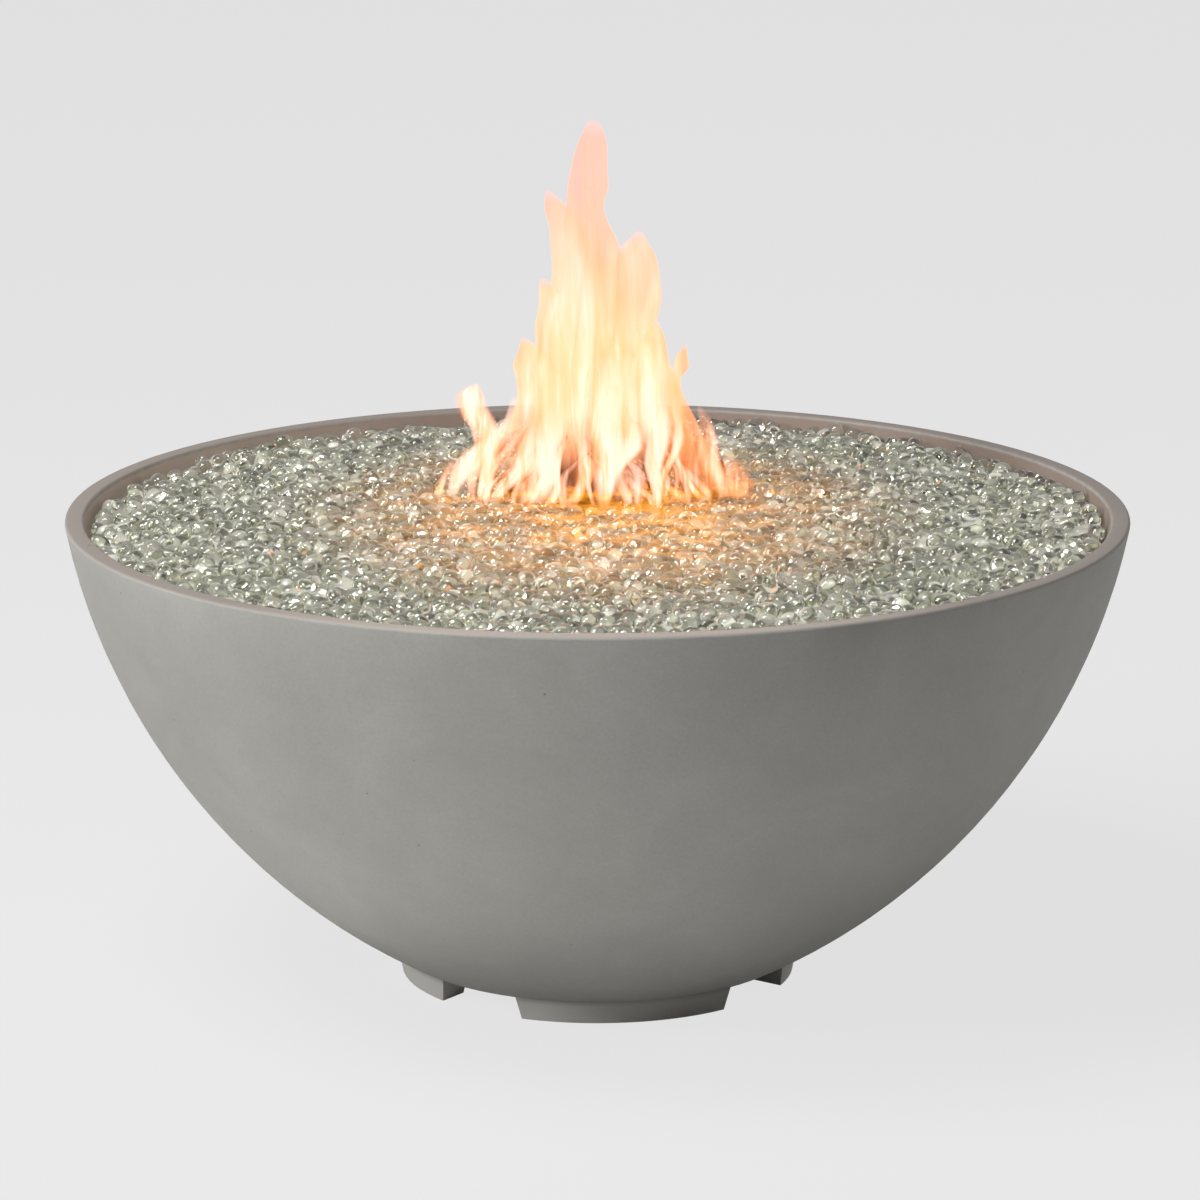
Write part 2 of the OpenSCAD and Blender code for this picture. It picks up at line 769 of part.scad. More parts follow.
// Pipe nipple from the hub down through the pan
module pan_nipple() {
    color("#5b5d60") difference() {
        rod(pipe_r, elbow_top - socket_len + 0.5, hub_floor + 2.5);
        rod(pipe_bore / 2, pipe_z, ring_top);
    }
}

module pan_washer() {
    color("#a5a7a8") difference() {
        rod(washer_r, pan_z - washer_t, pan_z);
        rod(pipe_r + hole_gap, pan_z - washer_t - over, pan_z + over);
    }
}

module pan_locknut() { color("#74767a") hex_nut(nut_af, pipe_fit, nut_z, nut_z + nut_h); }

// Cast elbow: a round corner and two legs with banded sockets
module elbow_leg_solid() {
    rod(collar_r - 3, 0, elbow_leg);
    rod(collar_r, elbow_leg - socket_len - 2, elbow_leg);
}

module elbow_leg_bore() {
    rod(pipe_bore / 2, 0, elbow_leg);
    rod(pipe_fit, elbow_leg - socket_len, elbow_leg + over);
}

module inlet_elbow() {
    color("#5b5d60") difference() {
        union() {
            translate([0, 0, pipe_z]) sphere(collar_r - 1);
            translate([0, 0, pipe_z]) elbow_leg_solid();
            along_y() elbow_leg_solid();
        }
        translate([0, 0, pipe_z]) elbow_leg_bore();
        along_y() elbow_leg_bore();
    }
}

// Venturi tube that draws air in through its side holes
module air_mixer() {
    color("#b08d4f") difference() {
        along_y() {
            rod(pipe_r, elbow_leg - socket_len + 0.5, mixer_y + eps);
            rod(mixer_d / 2, mixer_y, mixer_end);
        }
        along_y() {
            rod(pipe_bore / 2, elbow_leg - socket_len - over, mixer_end);
            rod(jet_r + seat_gap, mixer_end - jet_spigot - 1, mixer_end + over);
            translate([0, 0, air_hole_y]) for (i = [0 : air_hole_count - 1])
                rotate([0, 0, 360 * i / air_hole_count + 45]) rotate([0, 90, 0])
                    rod(air_hole_d / 2, pipe_bore / 4, mixer_d);
        }
    }
}

// Brass jet: its drilled tip stands in the mixer, its stub takes the connector
module gas_jet() {
    color("#b5893c") difference() {
        along_y() {
            translate([0, 0, mixer_end - jet_spigot - jet_tip])
                cylinder(r1 = jet_bore, r2 = pipe_bore / 2 - 2, h = jet_tip + eps);
            rod(jet_r, mixer_end - jet_spigot, jet_hex_y + eps);
            hex_rod(hex_af, jet_hex_y, jet_hex_y + jet_hex);
            rod(stub_r, jet_hex_y + jet_hex - eps, jet_end);
        }
        along_y() {
            rod(jet_bore / 2, mixer_end - jet_spigot - jet_tip - over, jet_end);
            rod(gas_bore_r, mixer_end - jet_spigot, jet_end + over);
        }
    }
}

module burner_connector() { color("#a9adb0") ribbed(burner_route); }
module supply_connector() { color("#a9adb0") ribbed(supply_route); }

// Swivel nuts that draw the connectors' ends onto the stubs
module connector_nut() { hex_nut(connector_nut_af, stub_r + seat_gap, -stub_len + 1, connector_nut_len - stub_len); }

module connector_nuts() {
    color("#b5893c") {
        along_y() translate([0, 0, jet_end]) connector_nut();
        translate([0, 0, inlet_top]) connector_nut();
        at_panel() translate([-valve_x, 0, outlet_end]) mirror([0, 0, 1]) connector_nut();
        at_panel() translate([-valve_x, -inlet_end, port_z]) rotate([90, 0, 0]) connector_nut();
    }
}

// Places of the four panel screws
module panel_screw_places() {
    for (x = [-1, 1], y = [-1, 1])
        translate([x * screw_x, y * screw_y, 0]) children();
}

// Stainless plate in the recess of the back wall
module control_panel() {
    color("#b4b6b8") at_panel() difference() {
        rounded_plate(panel_w, panel_h, panel_corner_r, panel_back, panel_front);
        translate([-valve_x, 0, 0]) rod(neck_r + hole_gap, panel_back - over, panel_front + over);
        translate([igniter_x, 0, 0]) rod(barrel_r + hole_gap, panel_back - over, panel_front + over);
        panel_screw_places() rod(screw_d / 2 + hole_gap, panel_back - over, panel_front + over);
    }
}

module panel_screws() {
    color("#8d9092") at_panel() panel_screw_places() difference() {
        union() {
            rod(screw_d / 2, panel_back - screw_len, panel_front + eps);
            rod(screw_head_r, panel_front, panel_front + screw_head_h);
        }
        for (a = [0, 90])
            rotate([0, 0, a]) translate([0, 0, panel_front + screw_head_h])
                cube([screw_head_r, 1, screw_head_h], center = true);
    }
}

// Brass gas valve: neck through the panel, inlet stub down the wall, outlet stub at the rear
module valve_body() {
    color("#b5893c") at_panel() translate([-valve_x, 0, 0]) difference() {
        union() {
            rod(neck_r, panel_back - eps, panel_front + neck_out);
            rod(valve_r - 2, valve_front - eps, panel_back);
            rod(valve_r, valve_rear, valve_front);
            rod(boss_r, valve_rear - boss_len, valve_rear + eps);
            rod(stub_r, outlet_end, valve_rear - boss_len + eps);
            translate([valve_x - probe_x, 0, 0])
                rod(probe_boss_r, valve_rear - probe_boss_len, valve_rear + eps);
            translate([0, 0, port_z]) rotate([90, 0, 0]) {
                rod(boss_r, plug_r + 2, valve_r + boss_len);
                rod(stub_r, valve_r, inlet_end);
            }
        }
        rod(stem_fit, chamber_front - eps, panel_front + neck_out + over);
        rod(plug_r + run_fit, chamber_rear, chamber_front);
        rod(gas_bore_r, outlet_end - over, chamber_rear + eps);
        translate([0, 0, port_z]) rotate([90, 0, 0]) rod(gas_bore_r, plug_r / 2, inlet_end + over);
    }
}

// Plug that turns in the valve, with its gas way and the socket that the stem slides in
module valve_plug() {
    color("#c9a25a") at_panel() translate([-valve_x, 0, 0]) difference() {
        rod(plug_r, chamber_rear + plug_gap, chamber_front - plug_gap);
        rod(stem_fit, socket_end, chamber_front + over);
        rod(gas_bore_r / 2, chamber_rear, port_z);
        translate([0, 0, port_z]) rotate([90, 0, 0]) rod(gas_bore_r / 2, 0, plug_r + over);
    }
}

// Steel stem with a flat for the knob
module valve_stem() {
    color("#a0a3a6") at_panel() translate([-valve_x, 0, 0]) difference() {
        rod(stem_r, stem_tail, stem_end);
        translate([stem_flat, -stem_d, 0]) cube([stem_d, 2 * stem_d, stem_end + over]);
    }
}

module valve_locknut() {
    color("#b5893c") at_panel() translate([-valve_x, 0, 0])
        hex_nut(nut19_af, neck_r + seat_gap, panel_front, panel_front + nut_t);
}

module knob_bezel() {
    color("#9fa2a4") at_panel() translate([-valve_x, 0, 0]) difference() {
        union() {
            rod(bezel_r, panel_front, panel_front + bezel_t / 2);
            rod(bezel_r - 1, panel_front, panel_front + bezel_t);
        }
        rod(bezel_hole_r, panel_front - over, panel_front + bezel_t + over);
    }
}

// Push and turn knob: skirt, fluted grip, pointer ridge, hollow over the nut, flatted bore
module control_knob() {
    color("#26272a") at_panel() translate([-valve_x, 0, knob_base]) difference() {
        union() {
            rod(skirt_d / 2 - 1, 0, skirt_h);
            rod(skirt_d / 2, 0, skirt_h - 1);
            rod(knob_d / 2, skirt_h - eps, knob_h - 1);
            rod(knob_d / 2 - 1, skirt_h, knob_h);
            translate([-pointer_w / 2, knob_d / 8, knob_h - eps])
                cube([pointer_w, knob_d / 3, pointer_t]);
        }
        for (i = [0 : flute_count - 1])
            rotate([0, 0, 360 * (i + 0.5) / flute_count]) translate([knob_d / 2 + flute_r / 2, 0, 0])
                rod(flute_r, skirt_h, knob_h + over);
        rod(knob_hollow_r, -over, knob_hollow_h);
        difference() {
            rod(stem_fit, 0, stem_end - knob_base + seat_gap);
            translate([stem_flat + seat_gap, -stem_d, 0]) cube([stem_d, 2 * stem_d, knob_h]);
        }
    }
}

// Igniter barrel: front flange on the panel, button bore, battery bore, lead terminal at the rear
module igniter_body() {
    color("#2b2c2e") at_panel() translate([igniter_x, 0, 0]) difference() {
        union() {
            rod(flange_d / 2 - 1, panel_front, panel_front + igniter_flange_t);
            rod(flange_d / 2, panel_front, panel_front + igniter_flange_t - 1);
            rod(barrel_r, barrel_rear, panel_front + eps);
            rod(terminal_r, barrel_rear - terminal_len, barrel_rear + eps);
        }
        rod(button_r + run_fit, cell_front - cell_nub, panel_front + igniter_flange_t + over);
        rod(cell_d / 2 + hole_gap, cell_rear, cell_front);
    }
}

module igniter_locknut() {
    color("#3a3b3e") at_panel() translate([igniter_x, 0, 0])
        hex_nut(igniter_nut_af, barrel_r + seat_gap, panel_back - igniter_nut_t, panel_back);
}

module igniter_button() {
    color("#b3241f") at_panel() translate([igniter_x, 0, 0]) union() {
        rod(button_r, button_out - button_len, button_out - 1);
        translate([0, 0, button_out - 1]) cylinder(r1 = button_r, r2 = button_r - 1, h = 1);
    }
}

module battery_cell() {
    color("#c6b37a") at_panel() translate([igniter_x, 0, 0]) {
        rod(cell_d / 2, cell_rear, cell_front - cell_nub);
        rod(cell_d / 5, cell_front - cell_nub - eps, cell_front);
    }
}

module ignition_lead() { color("#d8d2c4") lead(lead_route, lead_r); }
module thermocouple_lead() { color("#b4703f") lead(probe_route, probe_lead_r); }

// Bent rod: up through the ceramic, then towards the ring
module probe_rod() {
    rod(probe_r, shelf_z - 6, probe_z);
    translate([0, 0, probe_z]) sphere(probe_r);
    translate([0, 0, probe_z]) rotate([90, 0, 0]) rod(probe_r, 0, probe_reach);
}

module spark_electrode() { color("#8a8580") translate([-sensor_x, sensor_y, 0]) probe_rod(); }

module electrode_insulator() {
    color("#ece7dc") translate([-sensor_x, sensor_y, 0]) difference() {
        union() {
            rod(ceramic_r, ceramic_z, ceramic_z + ceramic_len);
            rod(ceramic_r + 1.5, shelf_z + bracket_t, shelf_z + bracket_t + 3);
        }
        rod(probe_r + seat_gap, shelf_z - 6 - seat_gap, ceramic_z + ceramic_len + over);
    }
}

module thermocouple() {
    color("#9a8f7e") translate([sensor_x, sensor_y, 0]) union() {
        rod(ceramic_r, ceramic_z, shelf_z + bracket_t + 4);
        rod(ceramic_r + 1.5, shelf_z + bracket_t, shelf_z + bracket_t + 3);
        probe_rod();
    }
}

// Folded strips: foot on the pan, riser, shelf with a hole for the probe
module sensor_brackets() {
    color("#a5a7a8") for (s = [-1, 1]) translate([s * sensor_x, 0, 0]) difference() {
        translate([-bracket_w / 2, 0, 0]) rotate([90, 0, 90]) linear_extrude(bracket_w)
            polygon([[sensor_y - 8, shelf_z], [riser_y, shelf_z], [riser_y, pan_top],
                [riser_y + sensor_foot, pan_top], [riser_y + sensor_foot, pan_top + bracket_t],
                [riser_y + bracket_t, pan_top + bracket_t], [riser_y + bracket_t, shelf_z + bracket_t],
                [sensor_y - 8, shelf_z + bracket_t]]);
        translate([0, sensor_y, 0]) rod(ceramic_r + hole_gap, shelf_z - over, shelf_z + 2 * bracket_t);
        translate([0, sensor_screw_y, 0])
            rod(sensor_screw_r + hole_gap, pan_top - over, pan_top + 2 * bracket_t);
    }
}

module sensor_screws() {
    color("#8d9092") for (s = [-1, 1]) translate([s * sensor_x, sensor_screw_y, 0]) {
        rod(sensor_screw_r, pan_z - 5, pan_top + bracket_t + eps);
        rod(2 * sensor_screw_r, pan_top + bracket_t, pan_top + bracket_t + 2.4);
    }
}

// Brass inlet: its lower stub takes the hose that comes up through the floor
module inlet_fitting() {
    color("#b5893c") difference() {
        union() {
            rod(stub_r, inlet_low, fitting_low + eps);
            rod(fitting_r, fitting_low, bridge_z + eps);
            hex_rod(hex_af, bridge_z, bridge_z + fitting_hex);
            rod(stub_r, bridge_z + fitting_hex - eps, inlet_top);
        }
        rod(gas_bore_r, inlet_low - over, inlet_top + over);
    }
}

module inlet_locknut() {
    color("#b5893c")
        hex_nut(hex_af, fitting_r + seat_gap, bridge_z - bridge_t - nut_h, bridge_z - bridge_t);
}

// Folded steel bridge over the hole in the floor
module inlet_bracket() {
    inside = bridge_span / 2;
    outside = inside + bridge_t;
    toe = outside + bridge_foot;
    color("#6a6d70") difference() {
        translate([-bridge_w / 2, 0, 0]) rotate([90, 0, 90]) linear_extrude(bridge_w) polygon([
            [-toe, floor_top], [-inside, floor_top], [-inside, bridge_z - bridge_t],
            [inside, bridge_z - bridge_t], [inside, floor_top], [toe, floor_top],
            [toe, floor_top + bridge_t], [outside, floor_top + bridge_t], [outside, bridge_z],
            [-outside, bridge_z], [-outside, floor_top + bridge_t], [-toe, floor_top + bridge_t]]);
        rod(fitting_r + hole_gap, bridge_z - bridge_t - over, bridge_z + over);
        for (s = [-1, 1])
            translate([0, s * bolt_y, 0]) rod(bolt_r + hole_gap, floor_top - over, floor_top + 2 * bridge_t);
    }
}

module bracket_bolts() {
    color("#8d9092") for (s = [-1, 1]) translate([0, s * bolt_y, 0]) {
        rod(bolt_r, floor_top - bolt_len, floor_top + bridge_t + eps);
        hex_rod(bolt_head_af, floor_top + bridge_t, floor_top + bridge_t + bolt_head_h);
    }
}

bowl();
burner_pan();
glass_bed();
flame();
outer_burner_ring();
inner_burner_ring();
burner_spokes();
burner_hub();
burner_saddles();
pan_nipple();
pan_washer();
pan_locknut();
inlet_elbow();
air_mixer();
gas_jet();
burner_connector();
supply_connector();
connector_nuts();
control_panel();
panel_screws();
valve_body();
valve_plug();
valve_stem();
valve_locknut();
knob_bezel();
control_knob();
igniter_body();
igniter_locknut();
igniter_button();
battery_cell();
ignition_lead();
spark_electrode();
electrode_insulator();
thermocouple();
thermocouple_lead();
sensor_brackets();
sensor_screws();
inlet_fitting();
inlet_locknut();
inlet_bracket();
bracket_bolts();
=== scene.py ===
# %% [markdown]
# # A gas fire pit bowl
# The solids of the bowl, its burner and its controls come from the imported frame. This script dresses them:
# it gives every solid a finish, pours real glass beads into the pan, lights the gas and sets up the studio.
# All lengths are metres, and the front of the bowl looks along -Y.

# %% Load the solids
import math

import bpy
import numpy as np
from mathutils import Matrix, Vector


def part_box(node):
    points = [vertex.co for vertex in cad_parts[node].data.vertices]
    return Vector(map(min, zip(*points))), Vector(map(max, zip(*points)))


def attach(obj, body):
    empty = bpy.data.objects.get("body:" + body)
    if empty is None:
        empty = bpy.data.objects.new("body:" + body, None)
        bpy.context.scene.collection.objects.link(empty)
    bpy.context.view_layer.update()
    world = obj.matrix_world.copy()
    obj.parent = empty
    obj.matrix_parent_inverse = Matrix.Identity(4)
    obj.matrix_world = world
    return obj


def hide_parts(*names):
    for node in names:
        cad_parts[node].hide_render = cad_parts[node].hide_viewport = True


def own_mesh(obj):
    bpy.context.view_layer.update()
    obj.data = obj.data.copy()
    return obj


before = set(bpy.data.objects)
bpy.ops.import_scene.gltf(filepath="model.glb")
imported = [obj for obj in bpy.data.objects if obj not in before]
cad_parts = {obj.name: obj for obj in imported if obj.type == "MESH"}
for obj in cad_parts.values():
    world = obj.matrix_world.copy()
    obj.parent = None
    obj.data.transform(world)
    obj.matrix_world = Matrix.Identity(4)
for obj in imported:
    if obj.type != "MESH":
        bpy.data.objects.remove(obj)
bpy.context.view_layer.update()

# %% [markdown]
# ## Sizes read from the solids
# A dressed piece has to sit where its solid sits, so its sizes are measured on the frame and not typed again.
# Typing them would be shorter, but the beads would then float as soon as someone changes the bowl.

# %% Measure the bowl and the bed
mm = 0.001
rim_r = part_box("bowl")[1].x
rim_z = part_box("bowl")[1].z
bed_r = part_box("glass_bed")[1].x
bed_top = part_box("glass_bed")[1].z
flame_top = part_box("flame")[1].z
print(f"rim radius {rim_r:.4f}, rim height {rim_z:.4f}, bed radius {bed_r:.4f}, bed top {bed_top:.4f}")

# What no box gives: the rim's width, the height of the feet, and the crown of glass over the burner, from which
# the bed falls over a short slope.
rim_w = 19 * mm
foot_h = 22 * mm
crown_r = 160 * mm
crown_slope = 40 * mm
bed_fall = 2 * mm


def bed_height(r):
    """Height of the glass at radius r: a flat top over the burner, a short slope, then level to the wall."""
    return bed_top - bed_fall * np.clip((r - crown_r) / crown_slope, 0, 1)


# %% [markdown]
# ## Helpers for finishes
# A finish is a small tree of shader nodes. One function turns a colour from a paint chart into the linear
# values that light is computed in, and one adds a node, sets it and links it in a single line. Two more
# start an empty finish, and turn a size in millimetres into the scale of a pattern.

# %% Colour and node helpers
def linear(hex_colour):
    """An sRGB hex colour as linear RGBA, with each channel's display curve undone."""
    channels = [int(hex_colour[i:i + 2], 16) / 255 for i in (1, 3, 5)]
    return [c / 12.92 if c <= 0.04045 else ((c + 0.055) / 1.055) ** 2.4 for c in channels] + [1.0]


def add(tree, kind, settings=None, inputs=None, ramp=None):
    """Add a shader node: its own settings, its inputs as values or sockets, and a colour ramp's stops."""
    node = tree.nodes.new("ShaderNode" + kind)
    for name, value in (settings or {}).items():
        setattr(node, name, value)
    for name, value in (inputs or {}).items():
        if isinstance(value, bpy.types.NodeSocket):
            tree.links.new(value, node.inputs[name])
        else:
            node.inputs[name].default_value = value
    if ramp:
        stops = node.color_ramp.elements
        while len(stops) < len(ramp):
            stops.new(0.5)
        for stop, (place, colour) in zip(stops, ramp):
            stop.position = place
            stop.color = linear(colour)
    return node


def start_finish(name):
    """A new material with an empty tree, and that tree."""
    material = bpy.data.materials.new(name)
    material.use_nodes = True
    material.node_tree.nodes.clear()
    return material, material.node_tree


def cells(size_mm):
    """Pattern scale, in cells per metre, for a pattern whose cells are this many millimetres across."""
    return 1000 / size_mm


# %% [markdown]
# ## Cast concrete
# The bowl is cast in a mould, so its side is smooth with pinholes from trapped air, and its colour drifts in
# soft clouds where the mix dried unevenly. The pits are dents in the shading and a darker dot of painted shade:
# as geometry they would take millions of faces. They crowd the rim, where the mould was filled last.

# %% Make the concrete
def cast_concrete():
    """Grey concrete with clouds of 160 mm, sand of 3 mm and pinholes.

    The rim is pitted, its pits darker as painted shade, and its top browner, darker as painted shade and paler
    along the front as painted light. The inner wall is browner too, paler at the left as painted light and
    darker at the right as painted shade, and the feet are painted paler as painted light.
    """
    material, tree = start_finish("concrete_cast")
    place = add(tree, "TexCoord").outputs["Object"]
    axes = add(tree, "SeparateXYZ", inputs={"Vector": place}).outputs
    clouds = add(tree, "TexNoise", inputs={
        "Vector": place, "Scale": cells(160), "Detail": 5.0, "Roughness": 0.62, "Distortion": 0.4}).outputs[0]
    sand = add(tree, "TexNoise", inputs={
        "Vector": place, "Scale": cells(3), "Detail": 2.0, "Roughness": 0.7}).outputs[0]
    base = add(tree, "ValToRGB", inputs={"Fac": clouds}, ramp=[
        (0.30, "#82807b"), (0.52, "#868580"), (0.72, "#8b8a85")]).outputs[0]
    speck = add(tree, "MapRange", inputs={
        "Value": sand, "From Min": 0.3, "From Max": 0.7, "To Min": 0.95, "To Max": 1.04}).outputs[0]
    grey = add(tree, "Mix", {"data_type": "RGBA", "blend_type": "MULTIPLY"}, {
        0: 1.0, 6: base, 7: speck}).outputs[2]
    # The inner wall lies inside the rim's width and is browner. Painted light makes it paler at the left, where
    # the main lamp leaves it in shade, and painted shade makes it darker towards the right, where the lamp
    # lights it.
    radius = add(tree, "VectorMath", {"operation": "LENGTH"}, {
        0: add(tree, "CombineXYZ", inputs={"X": axes["X"], "Y": axes["Y"]}).outputs[0]}).outputs["Value"]
    inside = add(tree, "MapRange", inputs={
        "Value": radius,
        "From Min": rim_r - rim_w + 0.4 * mm, "From Max": rim_r - rim_w - 0.4 * mm}).outputs[0]
    high = add(tree, "MapRange", inputs={
        "Value": axes["Z"], "From Min": rim_z - 60 * mm, "From Max": rim_z - 40 * mm}).outputs[0]
    inner_wall = add(tree, "Math", {"operation": "MULTIPLY"}, {0: inside, 1: high}).outputs[0]
    painted_light_across = add(tree, "MapRange", inputs={
        "Value": axes["X"], "From Min": -0.8 * rim_r, "From Max": 0.8 * rim_r}).outputs[0]
    wall_brown_and_painted_light = add(tree, "ValToRGB", inputs={"Fac": painted_light_across}, ramp=[
        (0.0, "#bcaea1"), (0.3, "#86776c"), (1.0, "#766960")]).outputs[0]
    walled = add(tree, "Mix", {"data_type": "RGBA"}, {0: inner_wall, 6: grey, 7: wall_brown_and_painted_light}).outputs[2]
    # Painted shade and light: the top of the rim is painted a darker, browner grey, and paler along the front.
    on_top = add(tree, "MapRange", inputs={
        "Value": axes["Z"], "From Min": rim_z - 2 * mm, "From Max": rim_z - 0.5 * mm}).outputs[0]
    painted_light_front = add(tree, "MapRange", inputs={
        "Value": axes["Y"], "From Min": -0.75 * rim_r, "From Max": -0.95 * rim_r}).outputs[0]
    rim_top_painted_shade = add(tree, "ValToRGB", inputs={"Fac": painted_light_front}, ramp=[
        (0.0, "#77706a"), (1.0, "#908880")]).outputs[0]
    with_rim_top_shade = add(tree, "Mix", {"data_type": "RGBA"}, {0: on_top, 6: walled, 7: rim_top_painted_shade}).outputs[2]
    holes = []
    # Spacing and largest radius in mm, and the share of the cells that stay without a hole.
    for spacing, largest, rare in ((24, 1.5, 0.62), (38, 3.0, 0.55)):
        seed = add(tree, "TexVoronoi", inputs={"Vector": place, "Scale": cells(spacing)})
        random = add(tree, "SeparateColor", inputs={"Color": seed.outputs["Color"]}).outputs[0]
        size = add(tree, "MapRange", inputs={
            "Value": random, "From Min": rare, "From Max": 1.0, "To Max": largest / spacing}).outputs[0]
        depth = add(tree, "Math", {"operation": "SUBTRACT"}, {0: size, 1: seed.outputs["Distance"]}).outputs[0]
        holes.append(add(tree, "MapRange", inputs={
            "Value": depth, "From Min": 0.0, "From Max": 0.35 * largest / spacing}).outputs[0])
    near_rim = add(tree, "MapRange", inputs={
        "Value": axes["Z"], "From Min": rim_z - 45 * mm, "From Max": rim_z - 8 * mm}).outputs[0]
    rim_pits = add(tree, "Math", {"operation": "MULTIPLY"}, {0: holes[1], 1: near_rim}).outputs[0]
    pits = add(tree, "Math", {"operation": "MAXIMUM"}, {0: holes[0], 1: rim_pits}).outputs[0]
    # Painted shade: each pit is also painted as a darker dot, the shade inside the hole.
    pit_shade_share = add(tree, "Math", {"operation": "MULTIPLY"}, {0: pits, 1: 0.6}).outputs[0]
    # Painted light: the feet are painted paler, where the bowl's shade falls on them.
    low_down = add(tree, "MapRange", inputs={
        "Value": axes["Z"], "From Min": foot_h + 2 * mm, "From Max": foot_h - 4 * mm}).outputs[0]
    feet_painted_light = add(tree, "Mix", {"data_type": "RGBA"}, {0: low_down, 6: with_rim_top_shade, 7: linear("#a3a19c")}).outputs[2]
    colour = add(tree, "Mix", {"data_type": "RGBA"}, {
        0: pit_shade_share, 6: feet_painted_light, 7: linear("#4d4a46")}).outputs[2]
    relief = add(tree, "Math", {"operation": "SUBTRACT"}, {
        0: add(tree, "Math", {"operation": "MULTIPLY"}, {0: sand, 1: 0.25}).outputs[0], 1: pits}).outputs[0]
    dents = add(tree, "Bump", inputs={"Height": relief, "Strength": 0.5, "Distance": 0.8 * mm}).outputs[0]
    body = add(tree, "BsdfPrincipled", inputs={
        "Base Color": colour, "Roughness": 0.85, "Specular IOR Level": 0.35, "Normal": dents}).outputs[0]
    add(tree, "OutputMaterial", inputs={"Surface": body})
    return material


concrete = cast_concrete()
print("made", concrete.name)

# %% [markdown]
# ## Metals and mouldings of the gas train
# The steel, brass, iron and plastic pieces differ in colour, gloss and in the marks of how they were made.
# One function covers them: a base colour that drifts to a second one over a grain of a real size, which may be
# drawn out along one axis as brushing does, with the gloss and the relief following the same grain.

# %% A finish with a grain
def grained(name, colours, grain_mm, roughness, metallic=0.0, stretch=(1, 1, 1), relief_mm=0.0):
    """Two colours mixed by noise of the grain's size, drawn out by stretch; the noise also varies the gloss."""
    material, tree = start_finish(name)
    place = add(tree, "TexCoord").outputs["Object"]
    drawn = add(tree, "Mapping", inputs={"Vector": place, "Scale": [1 / s for s in stretch]}).outputs[0]
    grain = add(tree, "TexNoise", inputs={
        "Vector": drawn, "Scale": cells(grain_mm), "Detail": 4.0, "Roughness": 0.6}).outputs[0]
    colour = add(tree, "ValToRGB", inputs={"Fac": grain}, ramp=[
        (0.35, colours[0]), (0.65, colours[1])]).outputs[0]
    gloss = add(tree, "MapRange", inputs={
        "Value": grain, "From Min": 0.3, "From Max": 0.7,
        "To Min": roughness * 0.8, "To Max": roughness * 1.2}).outputs[0]
    body = add(tree, "BsdfPrincipled", inputs={
        "Base Color": colour, "Roughness": gloss, "Metallic": metallic})
    if relief_mm:
        dents = add(tree, "Bump", inputs={
            "Height": grain, "Strength": 0.6, "Distance": relief_mm * mm}).outputs[0]
        tree.links.new(dents, body.inputs["Normal"])
    add(tree, "OutputMaterial", inputs={"Surface": body.outputs[0]})
    return material


# %% [markdown]
# ## Which solid gets which finish
# The sheet metal is brushed, so its grain is long and fine. The burner's steel has run hot and turned straw and
# blue. Fittings are turned brass, pipe fittings black iron, small fasteners bright zinc. The knob is moulded
# phenolic, which stays matt in the sun, and the button is moulded red plastic.

# %% Make the finishes of the small pieces
finishes = {
    "concrete_cast": concrete,
    "stainless_brushed": grained("stainless_brushed", ("#a9abab", "#c4c5c4"), 1.2, 0.32, 1.0, (40, 1, 1)),
    "burner_steel_heat_tinted": grained("burner_steel_heat_tinted", ("#8c8377", "#b09a78"), 40, 0.38, 1.0),
    "black_iron_fittings": grained("black_iron_fittings", ("#2b2c2d", "#3d3e3f"), 2, 0.55, 0.6, relief_mm=0.2),
    "brass_turned": grained("brass_turned", ("#b8934f", "#cfae6c"), 6, 0.28, 1.0),
    "steel_zinc_plated": grained("steel_zinc_plated", ("#b4b7b8", "#cfd1cf"), 5, 0.3, 1.0),
    "phenolic_black_moulded": grained("phenolic_black_moulded", ("#1c1c1d", "#262627"), 3, 0.42),
    "plastic_red_moulded": grained("plastic_red_moulded", ("#a8201c", "#b52a24"), 8, 0.3),
    "cell_jacket_film": grained("cell_jacket_film", ("#34383d", "#454a50"), 10, 0.25, 0.3),
    "silicone_lead_extruded": grained("silicone_lead_extruded", ("#d3cbbb", "#dfd8ca"), 4, 0.6),
    "copper_lead_drawn": grained("copper_lead_drawn", ("#a9683f", "#c07c4e"), 6, 0.34, 1.0),
    "alumina_fired": grained("alumina_fired", ("#e3dfd6", "#efece5"), 3, 0.35),
}
worn_by = {
    "concrete_cast": ["bowl"],
    "stainless_brushed": ["burner_pan", "control_panel", "burner_connector", "supply_connector", "knob_bezel"],
    "burner_steel_heat_tinted": ["outer_burner_ring", "inner_burner_ring", "burner_spokes", "burner_hub",
                                 "burner_saddles", "spark_electrode", "thermocouple"],
    "black_iron_fittings": ["pan_nipple", "inlet_elbow", "air_mixer"],
    "brass_turned": ["gas_jet", "connector_nuts", "valve_body", "valve_plug", "valve_stem", "inlet_fitting"],
    "steel_zinc_plated": ["pan_washer", "pan_locknut", "panel_screws", "valve_locknut", "igniter_locknut",
                          "sensor_brackets", "sensor_screws", "inlet_locknut", "inlet_bracket",
                          "bracket_bolts"],
    "phenolic_black_moulded": ["control_knob", "igniter_body"],
    "plastic_red_moulded": ["igniter_button"],
    "cell_jacket_film": ["battery_cell"],
    "silicone_lead_extruded": ["ignition_lead"],
    "copper_lead_drawn": ["thermocouple_lead"],
    "alumina_fired": ["electrode_insulator"],
}
print("made", len(finishes), "finishes")

# %% [markdown]
# ## Smooth the solids
# The solids arrive as loose triangles. Welding joins them, smooth shading rounds them, and a split at every
# edge sharper than 32 degrees keeps machined corners crisp. None of this moves a corner of a solid.

